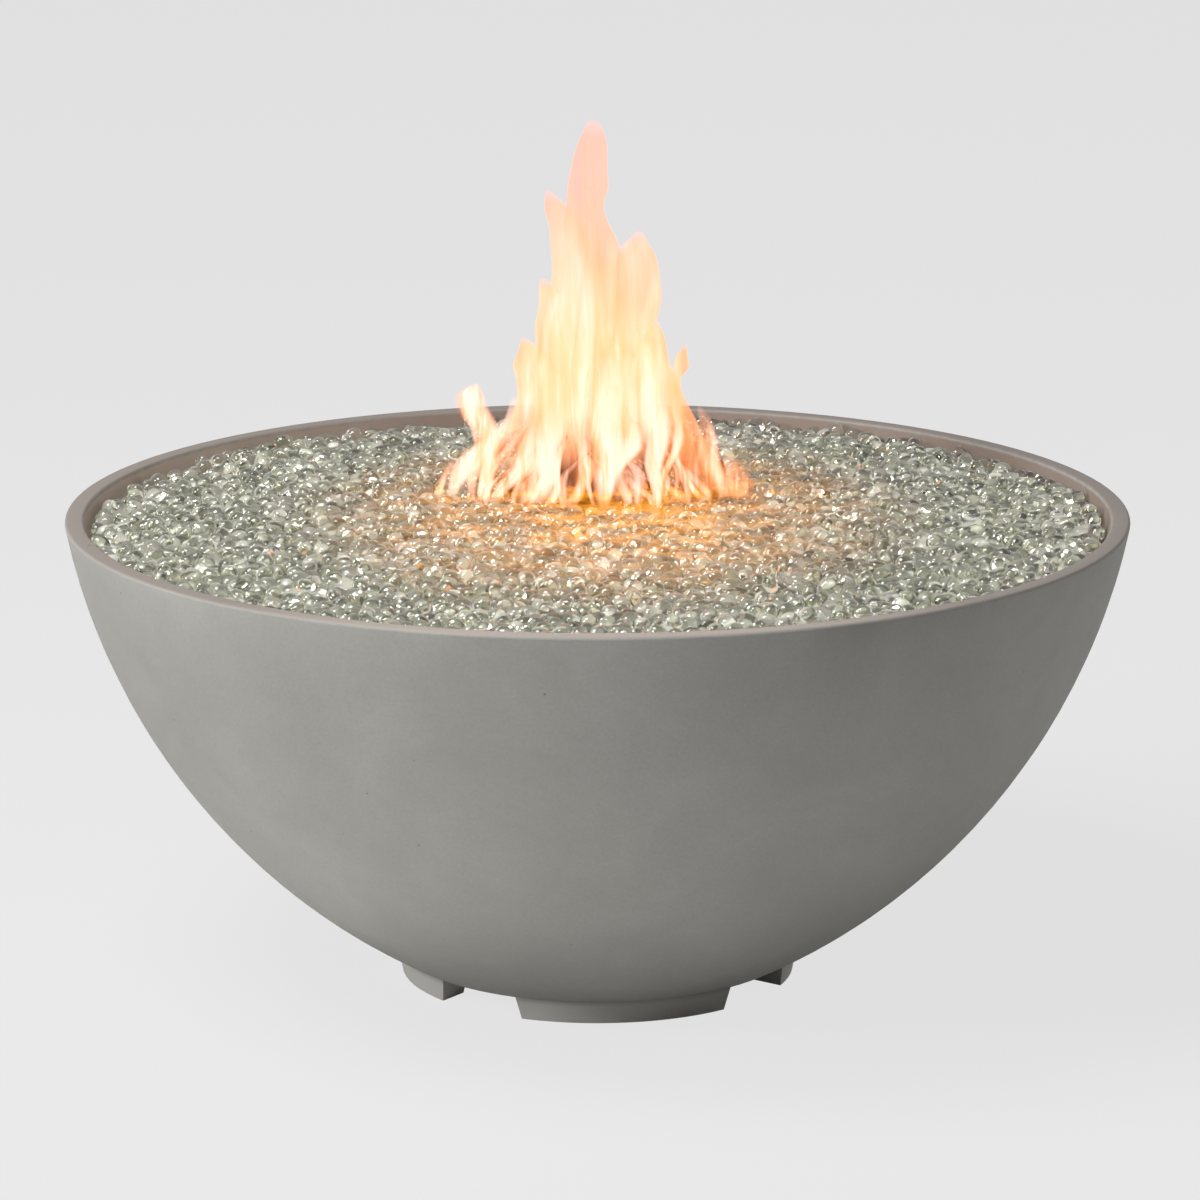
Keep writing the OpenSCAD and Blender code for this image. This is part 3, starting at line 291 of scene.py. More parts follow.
# %% Dress the solids
for finish, names in worn_by.items():
    for name in names:
        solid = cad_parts[name]
        solid.data.materials.clear()
        solid.data.materials.append(finishes[finish])
        solid.data.polygons.foreach_set("use_smooth", np.ones(len(solid.data.polygons), bool))
        weld = solid.modifiers.new("join_facets", "WELD")
        weld.merge_threshold = 0.001 * mm
        split = solid.modifiers.new("crisp_edges", "EDGE_SPLIT")
        split.split_angle = math.radians(32)
print("dressed", sum(len(names) for names in worn_by.values()), "solids")


# %% [markdown]
# ## One way to make many closed shells
# Beads and flame tongues are the same kind of shape: rings of points stacked along a line and closed at both
# ends. One function turns an array of such rings into a mesh, for any number of shells at once.

# %% Loft rings into shells
def loft(name, shells, marks):
    """Closed shells from rings[shell, ring, side, xyz]: quads between neighbouring rings and a cap at each end.

    marks are values for each point, kept as attributes that a finish can read.
    """
    count, rings, sides, _ = shells.shape
    index = np.arange(count * rings * sides).reshape(count, rings, sides)
    after = np.roll(index, -1, axis=2)
    quads = np.stack([index[:, :-1], after[:, :-1], after[:, 1:], index[:, 1:]], axis=-1).reshape(-1, 4)
    caps = np.concatenate([index[:, 0, ::-1], index[:, -1]])
    mesh = bpy.data.meshes.new(name)
    mesh.from_pydata(shells.reshape(-1, 3), [], quads.tolist() + caps.tolist())
    mesh.polygons.foreach_set("use_smooth", np.ones(len(mesh.polygons), bool))
    for label, values in marks.items():
        mark = mesh.attributes.new(label, "FLOAT", "POINT")
        mark.data.foreach_set("value", np.broadcast_to(values, shells.shape[:3]).astype(np.float32).ravel())
    mesh.update()
    piece = bpy.data.objects.new(name, mesh)
    bpy.context.scene.collection.objects.link(piece)
    return piece


# %% [markdown]
# ## Clear glass beads
# The bed is tumbled clear glass, rounded pebbles of 16 to 23 mm with a faint green from the iron in the glass.
# A rigid body simulation would pile them truly, but takes minutes for thousands. Here they are dropped on a
# rough honeycomb and then push each other apart for a few rounds, which looks poured and takes a second.

# %% Lay out the beads
# One seed for all random draws, so that each run pours the same beads and lights the same fire.
rng = np.random.default_rng(42)

# The spans of the half axes, the spread of the tilt in radians, and how far the middles of the two layers lie
# below the top of the glass and spread there. The outermost middles stay half a bead from the wall.
bead_pitch = 19.4 * mm
bead_half_mm = ((8.8, 11.4), (8.1, 9.9), (6.5, 8.0))
bead_tilt = 0.5
bead_scatter = 2.3 * mm
top_depth = 4 * mm
low_depth = 13 * mm
spots_r = bed_r - 11.5 * mm


def honeycomb(radius, pitch, jitter, shift):
    """Points of a honeycomb inside a circle, each moved at random by up to jitter."""
    steps = int(radius / pitch) + 2
    row, column = np.mgrid[-steps * 2:steps * 2 + 1, -steps:steps + 1]
    x = (column + 0.5 * (row % 2)) * pitch + shift
    y = row * pitch * math.sqrt(3) / 2 + shift
    spots = np.stack([x.ravel(), y.ravel()], axis=1)
    spots = spots + rng.uniform(-jitter, jitter, spots.shape)
    return spots[np.hypot(spots[:, 0], spots[:, 1]) < radius]


def push_apart(spots, spacing, radius, rounds=8, share=0.3):
    """Spots after some rounds in which those closer than the spacing give way by a share of what they lack."""
    for _ in range(rounds):
        away = spots[:, None] - spots[None]
        far = np.hypot(away[..., 0], away[..., 1]) + 1e-9
        missing = np.clip(spacing - far, 0, None) * (far > 1e-6)
        spots = spots + share * (away * (missing / far)[..., None]).sum(axis=1)
        reach = np.hypot(spots[:, 0], spots[:, 1])
        spots = spots * np.minimum(1, radius / reach)[:, None]
    return spots


def turn_matrices(yaw, tilt, towards):
    """Rotations that spin by yaw about Z and then tip by tilt towards a compass direction."""
    c, s = np.cos(tilt), np.sin(tilt)
    ax, ay = -np.sin(towards), np.cos(towards)
    tip = np.stack([
        np.stack([c + ax * ax * (1 - c), ax * ay * (1 - c), ay * s], -1),
        np.stack([ax * ay * (1 - c), c + ay * ay * (1 - c), -ax * s], -1),
        np.stack([-ay * s, ax * s, c], -1)], 1)
    zero = np.zeros_like(yaw)
    spin = np.stack([
        np.stack([np.cos(yaw), -np.sin(yaw), zero], -1),
        np.stack([np.sin(yaw), np.cos(yaw), zero], -1),
        np.stack([zero, zero, zero + 1], -1)], 1)
    return tip @ spin


def pebbles(spots, depth, rings=6, sides=12):
    """Rings of rounded pebbles: ellipsoids whose outlines swell by two and three lobes, tipped at random.

    The half axes lie in the spans of bead_half_mm, the tilt is spread by bead_tilt in radians, and the middles
    lie depth below the top of the glass, spread by bead_scatter. The end rings stop short of the poles.
    """
    count = len(spots)
    end_lift = 1.36
    lift = np.linspace(-end_lift, end_lift, rings)[None, :, None]
    around = np.linspace(0, 2 * np.pi, sides, endpoint=False)[None, None, :]
    half = np.stack([rng.uniform(least, most, count) for least, most in bead_half_mm], 1) * mm
    lobe = rng.uniform(0, 2 * np.pi, (2, count, 1, 1))
    swell = 1 + 0.04 * np.cos(2 * around + lobe[0]) + 0.04 * np.cos(3 * around + lobe[1])
    flat = np.cos(lift) ** 0.85 * swell
    unit = np.stack(np.broadcast_arrays(
        flat * np.cos(around), flat * np.sin(around), np.sin(lift) + 0 * swell), -1)
    yaw = rng.uniform(0, 2 * np.pi, count)
    tilt = np.abs(rng.normal(0, bead_tilt, count))
    towards = rng.uniform(0, 2 * np.pi, count)
    turns = turn_matrices(yaw, tilt, towards)
    shaped = (unit * half[:, None, None, :]) @ turns[:, None].transpose(0, 1, 3, 2)
    radius = np.hypot(spots[:, 0], spots[:, 1])
    height = bed_height(radius) - depth + rng.normal(0, bead_scatter, count)
    return shaped + np.column_stack([spots, height])[:, None, None, :]


top_spots = push_apart(honeycomb(spots_r, bead_pitch, 0.45 * bead_pitch, 0), bead_pitch, spots_r)
low_spots = honeycomb(spots_r, bead_pitch, 0.15 * bead_pitch, 0.5 * bead_pitch)
top_beads = pebbles(top_spots, top_depth)
low_beads = pebbles(low_spots, low_depth)
print("beads on top:", len(top_beads), "and below:", len(low_beads))


# %% [markdown]
# The glass itself is clear, with the green only in its depth. A real pebble is a little cloudy from tumbling,
# which the low roughness gives. Each bead carries its own tint value, so no two neighbours are quite alike.

# %% Make the glass
def tumbled_glass():
    """Clear soda-lime glass: IOR 1.5, almost no roughness, a faint green that differs from bead to bead."""
    material, tree = start_finish("glass_tumbled_clear")
    tint = add(tree, "Attribute", {"attribute_name": "bead_tint"}).outputs["Fac"]
    colour = add(tree, "ValToRGB", inputs={"Fac": tint}, ramp=[
        (0.0, "#e4e6d8"), (0.5, "#f0f0e6"), (1.0, "#f9f7f2")]).outputs[0]
    body = add(tree, "BsdfPrincipled", inputs={
        "Base Color": colour, "Roughness": 0.03, "IOR": 1.5, "Transmission Weight": 1.0}).outputs[0]
    add(tree, "OutputMaterial", inputs={"Surface": body})
    return material


# %% Pour the beads
glass = tumbled_glass()
sectors = 4


def pour(name, shells, finish):
    """Pieces of beads, one for each sector of the bowl, each bead with a tint of its own."""
    centres = shells.mean(axis=(1, 2))
    sector = np.floor((np.arctan2(centres[:, 1], centres[:, 0]) / (2 * np.pi) + 0.5) * sectors)
    tint = rng.uniform(0, 1, len(shells))
    for number in range(sectors):
        chosen = sector == number
        beads = loft(f"{name}_{number + 1}", shells[chosen], {"bead_tint": tint[chosen][:, None, None]})
        beads.data.materials.append(finish)
        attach(beads, "root")
        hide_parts("glass_bed")
        print(beads.name, len(beads.data.polygons), "faces")


pour("glass_beads", top_beads, glass)

# %% [markdown]
# ## The glass below
# Under the layer that shows lie more beads. Light that has passed through glass on glass comes back pale and
# even, so the second layer is two fifths clear and the rest pale satin, and a plain mass of the same closes
# the gaps below it. Clear beads all the way down would be truer, but two layers alone come out too dark.

# %% Fill the bed
def revolve(profile, sides):
    """Rings of one shell from a profile of radius and height: each point is carried round the Z axis."""
    around = np.linspace(0, 2 * np.pi, sides, endpoint=False)
    r, z = np.array(profile).T
    ring = np.stack(np.broadcast_arrays(
        r[:, None] * np.cos(around), r[:, None] * np.sin(around), z[:, None]), -1)
    return ring[None]


def deep_glass():
    """Beads seen through beads: two fifths clear, the rest pale grey-green satin, each with its own tint."""
    material, tree = start_finish("glass_tumbled_deep")
    tint = add(tree, "Attribute", {"attribute_name": "bead_tint"}).outputs["Fac"]
    colour = add(tree, "ValToRGB", inputs={"Fac": tint}, ramp=[
        (0.0, "#babcad"), (0.5, "#e0e0d4"), (1.0, "#f7f5ed")]).outputs[0]
    body = add(tree, "BsdfPrincipled", inputs={
        "Base Color": colour, "Roughness": 0.2, "IOR": 1.5, "Transmission Weight": 0.4}).outputs[0]
    add(tree, "OutputMaterial", inputs={"Surface": body})
    return material


deep = deep_glass()
pour("glass_beads_low", low_beads, deep)
fill_top = bed_top - 19 * mm
fill_low = fill_top - bed_fall - 6 * mm
fill_edge = bed_r - 14 * mm
fill = loft("glass_below", revolve([
    (1 * mm, fill_low), (fill_edge - 4 * mm, fill_low), (fill_edge, fill_low + 2 * mm),
    (fill_edge, fill_top - bed_fall), (crown_r + crown_slope, fill_top - bed_fall), (crown_r, fill_top),
    (1 * mm, fill_top)], 96), {"bead_tint": 0.3})
fill.data.materials.append(deep)
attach(fill, "root")
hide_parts("glass_bed")
print(fill.name, len(fill.data.polygons), "faces")

# %% [markdown]
# ## The burning gas
# The flame is soot glowing in thin sheets: cream to white where it is hottest, orange where it thins out, and
# pink at the tip. A smoke simulation gives another flame in every frame and can't be carried in a model. Closed
# lens-shaped shells with a light of their own, clear at their edges, keep one moment of it.

# %% Make the finish of burning gas
def burning_gas():
    """Glowing soot: upright streaks of 16 mm and clouds of 70 mm pick a colour from orange to near white.

    Shells with a core, the licks, also have streaks of 8 mm and are thinner between them.
    """
    material, tree = start_finish("burning_gas")
    mark = {label: add(tree, "Attribute", {"attribute_name": "flame_" + label}).outputs["Fac"]
            for label in ("along", "across", "rise", "heat", "cover", "soft", "core", "fade")}
    place = add(tree, "TexCoord").outputs["Object"]
    swings = []
    for width_mm, drawn_out, share, detail, distortion in (
            (16, 9, 1.3, 2.0, 0.5), (70, 2.5, 1.1, 2.0, 0.5), (8, 7, 2.0, 1.0, 0.6)):
        drawn = add(tree, "Mapping", inputs={"Vector": place, "Scale": (1, 1, 1 / drawn_out)}).outputs[0]
        noise = add(tree, "TexNoise", inputs={
            "Vector": drawn, "Scale": cells(width_mm), "Detail": detail, "Distortion": distortion}).outputs[0]
        swings.append(add(tree, "Math", {"operation": "MULTIPLY_ADD"}, {
            0: noise, 1: share, 2: -0.5 * share}).outputs[0])
    streaks, clouds, lick_streaks = swings
    swing = add(tree, "Math", {"operation": "ADD"}, {0: streaks, 1: clouds}).outputs[0]
    middle = add(tree, "Math", {"operation": "MULTIPLY_ADD"}, {
        0: add(tree, "Math", {"operation": "MULTIPLY"}, {0: mark["across"], 1: mark["across"]}).outputs[0],
        1: -1.0, 2: 1.0}).outputs[0]
    core = add(tree, "Math", {"operation": "MULTIPLY_ADD"}, {0: middle, 1: 0.6, 2: -0.4}).outputs[0]
    streaked = add(tree, "Math", {"operation": "ADD"}, {0: core, 1: lick_streaks}).outputs[0]
    core_share = add(tree, "Math", {"operation": "MULTIPLY"}, {0: streaked, 1: mark["core"]}).outputs[0]
    glow = add(tree, "Math", {"operation": "ADD"}, {0: swing, 1: core_share}).outputs[0]
    heat = add(tree, "Math", {"operation": "ADD", "use_clamp": True}, {0: mark["heat"], 1: glow}).outputs[0]
    colour = add(tree, "ValToRGB", inputs={"Fac": heat}, ramp=[
        (0.0, "#d0742e"), (0.25, "#ff8a50"), (0.5, "#ffa06c"), (0.75, "#ffb48a"), (1.0, "#ffcbb6")]).outputs[0]
    pink_share = add(tree, "MapRange", inputs={
        "Value": mark["rise"], "From Min": 0.4, "From Max": 0.85, "To Max": 0.65}).outputs[0]
    tinted = add(tree, "Mix", {"data_type": "RGBA"}, {
        0: pink_share, 6: colour, 7: linear("#ff9c92")}).outputs[2]
    edge = add(tree, "MapRange", {"interpolation_type": "SMOOTHSTEP"}, {
        "Value": middle, "From Min": 0.0, "From Max": mark["soft"]}).outputs[0]
    foot = add(tree, "MapRange", inputs={"Value": mark["along"], "From Min": 0.0, "From Max": 0.25}).outputs[0]
    tip = add(tree, "MapRange", inputs={
        "Value": mark["along"], "From Min": 1.0, "From Max": mark["fade"]}).outputs[0]
    ends = add(tree, "Math", {"operation": "MULTIPLY"}, {0: foot, 1: tip}).outputs[0]
    thinnest = add(tree, "Math", {"operation": "MULTIPLY_ADD"}, {0: mark["core"], 1: -0.36, 2: 0.4}).outputs[0]
    body_share = add(tree, "MapRange", inputs={"Value": heat, "To Min": thinnest, "To Max": 0.9}).outputs[0]
    shaped = add(tree, "Math", {"operation": "MULTIPLY"}, {0: edge, 1: ends}).outputs[0]
    dense = add(tree, "Math", {"operation": "MULTIPLY"}, {0: body_share, 1: mark["cover"]}).outputs[0]
    cover = add(tree, "Math", {"operation": "MULTIPLY"}, {0: shaped, 1: dense}).outputs[0]
    body = add(tree, "BsdfPrincipled", inputs={
        "Base Color": linear("#000000"), "Roughness": 1.0, "Specular IOR Level": 0.0,
        "Emission Color": tinted, "Emission Strength": 1.9, "Alpha": cover}).outputs[0]
    add(tree, "OutputMaterial", inputs={"Surface": body})
    return material


gas = burning_gas()
print("made", gas.name)


def light(name, points, heat, cover, soft, core, fade):
    """One piece of the flame: its shells, how hot and dense they are, and how they fade out.

    soft is the share of the width that fades at the edges, core the extra heat in the middle and its fine
    streaks, and fade how far up a shell begins to fade towards its tip.
    """
    count, rings, sides, _ = points.shape
    even = np.ones((count, rings, sides))
    piece = loft(name, points, {
        "flame_along": np.linspace(0, 1, rings)[:, None] * even,
        "flame_across": np.cos(np.linspace(0, 2 * np.pi, sides, endpoint=False)) * even,
        "flame_rise": (points[..., 2] - bed_top) / (flame_top - bed_top),
        "flame_heat": heat * even, "flame_cover": cover * even, "flame_soft": soft * even,
        "flame_core": core * even, "flame_fade": fade * even})
    piece.data.materials.append(gas)
    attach(piece, "root")
    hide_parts("flame")
    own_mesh(piece)
    print(name, count, "shells")


# %% [markdown]
# The tall sheets draw the outline of the fire, so each is a short table: its height, left edge and right edge,
# from the tip down. They overlap, and since the streaks run through all of them alike, they read as one body.

# %% Shape the sheets of fire
# How far down in the glass a flame starts.
root_mm = 6


def sheet(rows, y, wave=0, rings=80, sides=24):
    """Rings of one upright sheet from rows of height, left edge and right edge in millimetres, tip first.

    Edges run straight from row to row and are rounded by a running mean of three rings, and the width ripples
    by 1 mm except near the tip. Across, a sheet is a lens, a third as deep as it is wide and at most 20 mm
    either way. On its way up from root_mm down in the glass it sways to and fro by 5 mm, and sideways by wave.
    """
    high, left, right = np.array(rows[::-1], float).T
    at = np.linspace(-root_mm, high[-1], rings)
    left, right = (np.convolve(np.pad(np.interp(at, high, edge), 1, "edge"), np.full(3, 1 / 3), "valid")
                   for edge in (left, right))
    ripple = np.sin(at / 7 + y) * np.clip(high[-1] - at, 0, 20) / 20
    middle = ((left + right) / 2 + wave * np.sin(at / 13 + 2 * y))[:, None]
    half = np.maximum(right - left + ripple, 0.8)[:, None] / 2
    around = np.linspace(0, 2 * np.pi, sides, endpoint=False)
    sway = 5 * np.sin(at / 55 + y)[:, None]
    return np.stack(np.broadcast_arrays(
        middle + half * np.cos(around), y + sway + np.minimum(0.33 * half, 20) * np.sin(around),
        at[:, None] + bed_top / mm), -1) * mm


# All in millimetres: the fire stands behind the middle of the bowl.
fire_y = 75
tables = [
    # How far behind fire_y, how soft the left and the right edge are, then height, left edge and right edge
    # from the tip down.
    (0, 0.16, 0.16, [(391, -9, -3), (383, -13, 6), (363, -21, 10), (346, -27, 11), (322, -30, 11),
                     (304, -32, 6), (284, -34, 12), (266, -38, 23), (240, -42, 36), (206, -50, 44),
                     (150, -56, 52), (84, -52, 54), (0, -40, 46)]),
    (9, 0.16, 1.0, [(318, -53, -50), (310, -53, -40), (298, -54, -24), (282, -50, -6), (256, -47, 8),
                    (230, -47, 14), (178, -50, 18), (84, -52, 10), (0, -44, -2)]),
    (3, 0.16, 1.0, [(229, -58, -54), (220, -59, -40), (206, -59, -20), (182, -64, -6), (164, -63, 0),
                    (110, -66, 4), (60, -66, 0), (0, -60, -14)]),
    (-5, 0.16, 1.0, [(170, -77, -72), (157, -80, -54), (142, -86, -36), (130, -83, -24), (104, -82, -20),
                     (64, -98, -36), (22, -120, -60), (0, -126, -86)]),
    (5, 1.0, 0.16, [(277, 38, 44), (266, 28, 51), (254, 14, 58), (240, 0, 62), (216, -10, 66), (198, -14, 64),
                    (180, -16, 60), (110, -16, 62), (50, -8, 60), (0, 4, 52)]),
    (-3, 1.0, 0.16, [(187, 57, 61), (172, 46, 67), (160, 36, 70), (140, 28, 75), (116, 24, 85), (99, 26, 94),
                     (60, 44, 112), (24, 76, 132), (0, 94, 138)]),
    (12, 0.4, 0.2, [(158, 88, 91), (146, 80, 91), (134, 76, 94), (124, 74, 85), (104, 72, 84), (60, 80, 98),
                    (0, 92, 110)]),
    (22, 1.0, 1.0, [(246, -6, 6), (200, -40, 36), (140, -50, 46), (60, -58, 54), (0, -50, 50)]),
    (-14, 1.0, 1.0, [(170, 14, 30), (130, -6, 48), (80, -30, 60), (0, -40, 60)]),
]
sheets = np.stack([sheet(rows, fire_y + behind) for behind, _, _, rows in tables])
rise = (sheets[..., 2] - bed_top) / (flame_top - bed_top)
on_right = np.cos(np.linspace(0, 2 * np.pi, sheets.shape[2], endpoint=False)) > 0
soft = np.array([np.where(on_right, right, left) for _, left, right, _ in tables])[:, None, :] + 0 * rise
# The main tongue has crisp edges only where it stands free, above its neighbours.
soft[0] = np.maximum(soft[0], np.clip((0.72 - rise[0]) / 0.12, 0, 1))
# 0 at the glass and 1 from 0.3 of the height up, with a soft start and end: the sheets are thin at the foot.
lifted = np.clip((rise - 0.04) / 0.26, 0, 1)
lifted = lifted * lifted * (3 - 2 * lifted)
sheet_heat = 0.5 + 0.17 * lifted - 0.45 * np.clip(rise - 0.35, 0, 1)
sheet_cover = 0.05 + 0.8 * lifted
light("flame_sheets", sheets, sheet_heat, sheet_cover, soft, core=0, fade=0.95)

# %% [markdown]
# Seen from the side, these sheets stand edge on. A few of them are lit a second time, turned by a quarter about
# the fire's middle and narrower, so that the fire has a body from there too.

# %% Light the cross sheets
crossing = [0, 3, 4, 5]
cross_x = -10 * mm
narrower, thinner = 0.85, 0.8
across, deep_by = sheets[crossing, ..., 0], sheets[crossing, ..., 1] - fire_y * mm
cross = np.stack([
    cross_x - thinner * deep_by, fire_y * mm + narrower * across, sheets[crossing, ..., 2]], -1)
light("flame_sheets_cross", cross, sheet_heat[crossing], sheet_cover[crossing], soft=1.0, core=0, fade=0.9)

# %% [markdown]
# Close to the glass the sheets part into bright licks. The large ones are tabled like the sheets: they start
# narrow at the glass, widen on their way up and fade into the body of the fire, which leaves dark gaps between
# their feet.

# %% Light the large licks
lick_tables = [
    # How far behind fire_y, heat, where it begins to fade, then height, left edge and right edge from the tip
    # down.
    (-2, 0.8, 0.92, [(122, -124, -116), (110, -144, -112), (98, -148, -110), (88, -144, -106), (76, -133, -101),
                     (60, -126, -97), (40, -123, -101), (24, -121, -106), (0, -116, -112)]),
    (30, 0.8, 0.45, [(104, -84, -76), (74, -101, -86), (56, -124, -94), (44, -140, -100), (30, -147, -114),
                     (14, -152, -132), (0, -157, -144)]),
    (20, 0.6, 0.45, [(60, -98, -88), (40, -112, -98), (20, -122, -108), (0, -128, -118)]),
    (6, 0.88, 0.45, [(112, -44, -10), (86, -60, -18), (62, -80, -32), (44, -92, -48), (28, -98, -66),
                     (12, -104, -84), (0, -110, -94)]),
    (-12, 0.96, 0.45, [(104, -60, -24), (66, -66, -28), (40, -70, -34), (18, -76, -42), (0, -84, -52)]),
    (-18, 0.8, 0.45, [(70, -34, -24), (46, -42, -32), (24, -46, -38), (0, -50, -44)]),
    (-22, 0.64, 0.45, [(90, -26, -4), (60, -22, -2), (34, -22, -4), (14, -28, -8), (0, -34, -16)]),
    (-32, 0.96, 0.4, [(160, -4, 26), (116, -8, 30), (84, -10, 32), (54, -12, 30), (30, -8, 24), (12, -2, 18),
                      (0, 2, 14)]),
    (-26, 0.84, 0.45, [(124, 28, 42), (98, 30, 46), (74, 28, 46), (58, 14, 44), (48, 6, 34), (30, 6, 22),
                       (0, 8, 16)]),
    (-30, 0.96, 0.4, [(140, 42, 68), (104, 42, 74), (74, 44, 74), (48, 48, 72), (24, 52, 68), (0, 55, 63)]),
    (-10, 0.64, 0.45, [(62, 64, 72), (46, 72, 80), (30, 82, 91), (16, 92, 103), (6, 100, 113), (0, 104, 117)]),
    (-20, 0.8, 0.45, [(116, 76, 92), (84, 76, 92), (62, 72, 86), (44, 66, 78), (24, 62, 72), (0, 58, 66)]),
    (14, 0.64, 0.4, [(96, 100, 107), (84, 98, 113), (62, 98, 122), (38, 103, 130), (18, 109, 140),
                     (0, 114, 146)]),
    (26, 0.48, 0.3, [(42, 132, 142), (34, 126, 150), (22, 124, 157), (10, 126, 159), (0, 132, 156)]),
    (30, 0.48, 0.3, [(38, -148, -140), (18, -160, -150), (0, -170, -160)]),
    (10, 0.56, 0.45, [(84, -104, -88), (60, -110, -92), (30, -116, -104), (0, -120, -110)]),
]
large = np.stack([sheet(rows, fire_y + behind, wave=3) for behind, _, _, rows in lick_tables])
lick_heat = np.array([heat for _, heat, _, _ in lick_tables])[:, None, None]
lick_fade = np.array([fade for _, _, fade, _ in lick_tables])[:, None, None]
light("flame_licks_large", large, lick_heat, cover=0.9, soft=1.0, core=1.0, fade=lick_fade)

# %% [markdown]
# Small licks start at the burner's ports all round and bend inwards with the draught. They give the fire its
# depth, and orange veils hang between them.

# %% Shape the licks
def licks(x, y, height, width, lean, bow, turn, belly, rings=24, sides=12):
    """Rings of leaf-shaped licks standing on the glass, sizes in metres, one row for each lick.

    The half width grows from the foot to the belly as a sine and runs out to the tip as an ellipse does. The
    spine leans sideways with the square of the height, bows out in the middle and snakes on its way up.
    """
    x, y, height, width, lean, bow, turn, belly = (
        v[:, None] for v in (x, y, height, width, lean, bow, turn, belly))
    t = np.linspace(0, 1, rings)[None, :]
    phase = rng.uniform(0, 2 * np.pi, x.shape)
    grow = 0.3 + 0.7 * np.sin(np.pi / 2 * np.minimum(t / belly, 1))
    fall = (1 - np.clip((t - belly) / (1 - belly), 0, 1) ** 2) ** 0.8
    half = width / 2 * np.maximum(0.02, grow * fall)
    snake = 0.35 * width * np.sin(2 * np.pi * 1.1 * t + phase) * t
    cx = x + lean * t ** 2 + bow * np.sin(np.pi * t) + snake
    cy = y + 0.5 * snake
    cz = bed_top - root_mm * mm + (height + root_mm * mm) * t
    around = np.linspace(0, 2 * np.pi, sides, endpoint=False)[None, None, :]
    u = half[..., None] * np.cos(around)
    v = half[..., None] * 0.35 * np.sin(around)
    spin = (turn + 0.4 * np.sin(phase) * t)[..., None]
    return np.stack(np.broadcast_arrays(
        cx[..., None] + u * np.cos(spin) - v * np.sin(spin),
        cy[..., None] + u * np.sin(spin) + v * np.cos(spin), cz[..., None] + 0 * u), -1)


# %% Light the licks and veils
def scatter(count, wide, deep):
    """Feet of licks inside an ellipse over the burner, more of them near its edge."""
    compass = np.linspace(0, 2 * np.pi, count, endpoint=False) + rng.uniform(-0.1, 0.1, count)
    reach = rng.uniform(0.3, 1, count) ** 0.6
    return reach * wide * np.cos(compass), fire_y * mm + reach * deep * np.sin(compass)


# The draught pulls a tip towards the middle by this share of its distance from there.
draught = -0.4
lick_count = 30
x, y = scatter(lick_count, 130 * mm, 44 * mm)
small = licks(
    x, y, height=rng.uniform(30, 100, lick_count) * mm, width=rng.uniform(6, 18, lick_count) * mm,
    lean=draught * x + rng.uniform(-22, 22, lick_count) * mm, bow=rng.uniform(-12, 12, lick_count) * mm,
    turn=rng.uniform(-0.5, 0.5, lick_count), belly=rng.uniform(0.35, 0.6, lick_count))
light("flame_licks", small, heat=0.75, cover=0.5, soft=1.0, core=1.0, fade=0.4)
veil_count = 10
x, y = scatter(veil_count, 120 * mm, 36 * mm)
veils = licks(
    x, y, height=rng.uniform(60, 120, veil_count) * mm, width=rng.uniform(30, 54, veil_count) * mm,
    lean=draught * x, bow=rng.uniform(-10, 10, veil_count) * mm,
    turn=rng.uniform(-0.5, 0.5, veil_count), belly=rng.uniform(0.3, 0.45, veil_count))
light("flame_veils", veils, heat=0.45, cover=0.3, soft=1.0, core=1.0, fade=0.4)

# %% [markdown]
# Close to the burner the glass glows orange with the flame's light. That glow is painted light: a very flat,
# glowing dome just over the beads, which adds light and hides almost nothing.

# %% Light the film over the beads
def painted_flame_glow_finish():
    """Painted glow of the flame's light on the glass: faint orange light in patches of 26 mm, about one bead,
    that fades out towards the film's edge.
    """
    material, tree = start_finish("painted_flame_glow")
    strength = add(tree, "Attribute", {"attribute_name": "film_strength"}).outputs["Fac"]
    patches = add(tree, "TexNoise", inputs={
        "Vector": add(tree, "TexCoord").outputs["Object"], "Scale": cells(26), "Detail": 1.0}).outputs[0]
    patchy = add(tree, "MapRange", inputs={
        "Value": patches, "From Min": 0.35, "From Max": 0.65, "To Min": 0.035, "To Max": 0.145}).outputs[0]
    cover = add(tree, "Math", {"operation": "MULTIPLY"}, {0: strength, 1: patchy}).outputs[0]
    body = add(tree, "BsdfPrincipled", inputs={
        "Base Color": linear("#000000"), "Roughness": 1.0, "Specular IOR Level": 0.0,
        "Emission Color": linear("#ffa024"), "Emission Strength": 7.2, "Alpha": cover}).outputs[0]
    add(tree, "OutputMaterial", inputs={"Surface": body})
    return material


# From the edge to the middle: the share of the half width, and the height over the top of the glass.
film_reach = np.array([1.0, 1.0, 0.9, 0.8, 0.7, 0.6, 0.5, 0.4, 0.3, 0.2, 0.1, 0.01])
film_lift = np.array([3, 7, 8, 9, 10, 10, 11, 11, 12, 12, 12, 12]) * mm
film_half = (340 * mm, 440 * mm, 1)
film_middle = (10 * mm, -20 * mm, 0)
film_rings = revolve(np.column_stack([film_reach, bed_top + film_lift]), 48) * film_half + film_middle
# This dome paints the flame's light on the glass as a glow.
film = loft("painted_glow_film", film_rings, {"film_strength": ((1 - film_reach) ** 1.45)[None, :, None]})
film.data.materials.append(painted_flame_glow_finish())
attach(film, "root")
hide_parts("flame")
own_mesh(film)
print(film.name, len(film.data.polygons), "faces")

# %% [markdown]
# ## The studio
# The bowl stands on a pale floor that runs out of the picture on all sides. The camera, and mirrors and glass,
# see it at one even tone, with a share of plain matt paint that keeps the soft shadow under the bowl. Large
# lamps stand for soft boxes: the main one is at the left, as the shading of the bowl tells.

# %% Floor and surroundings
backdrop = "#e5e5e5"
even_share = 0.94


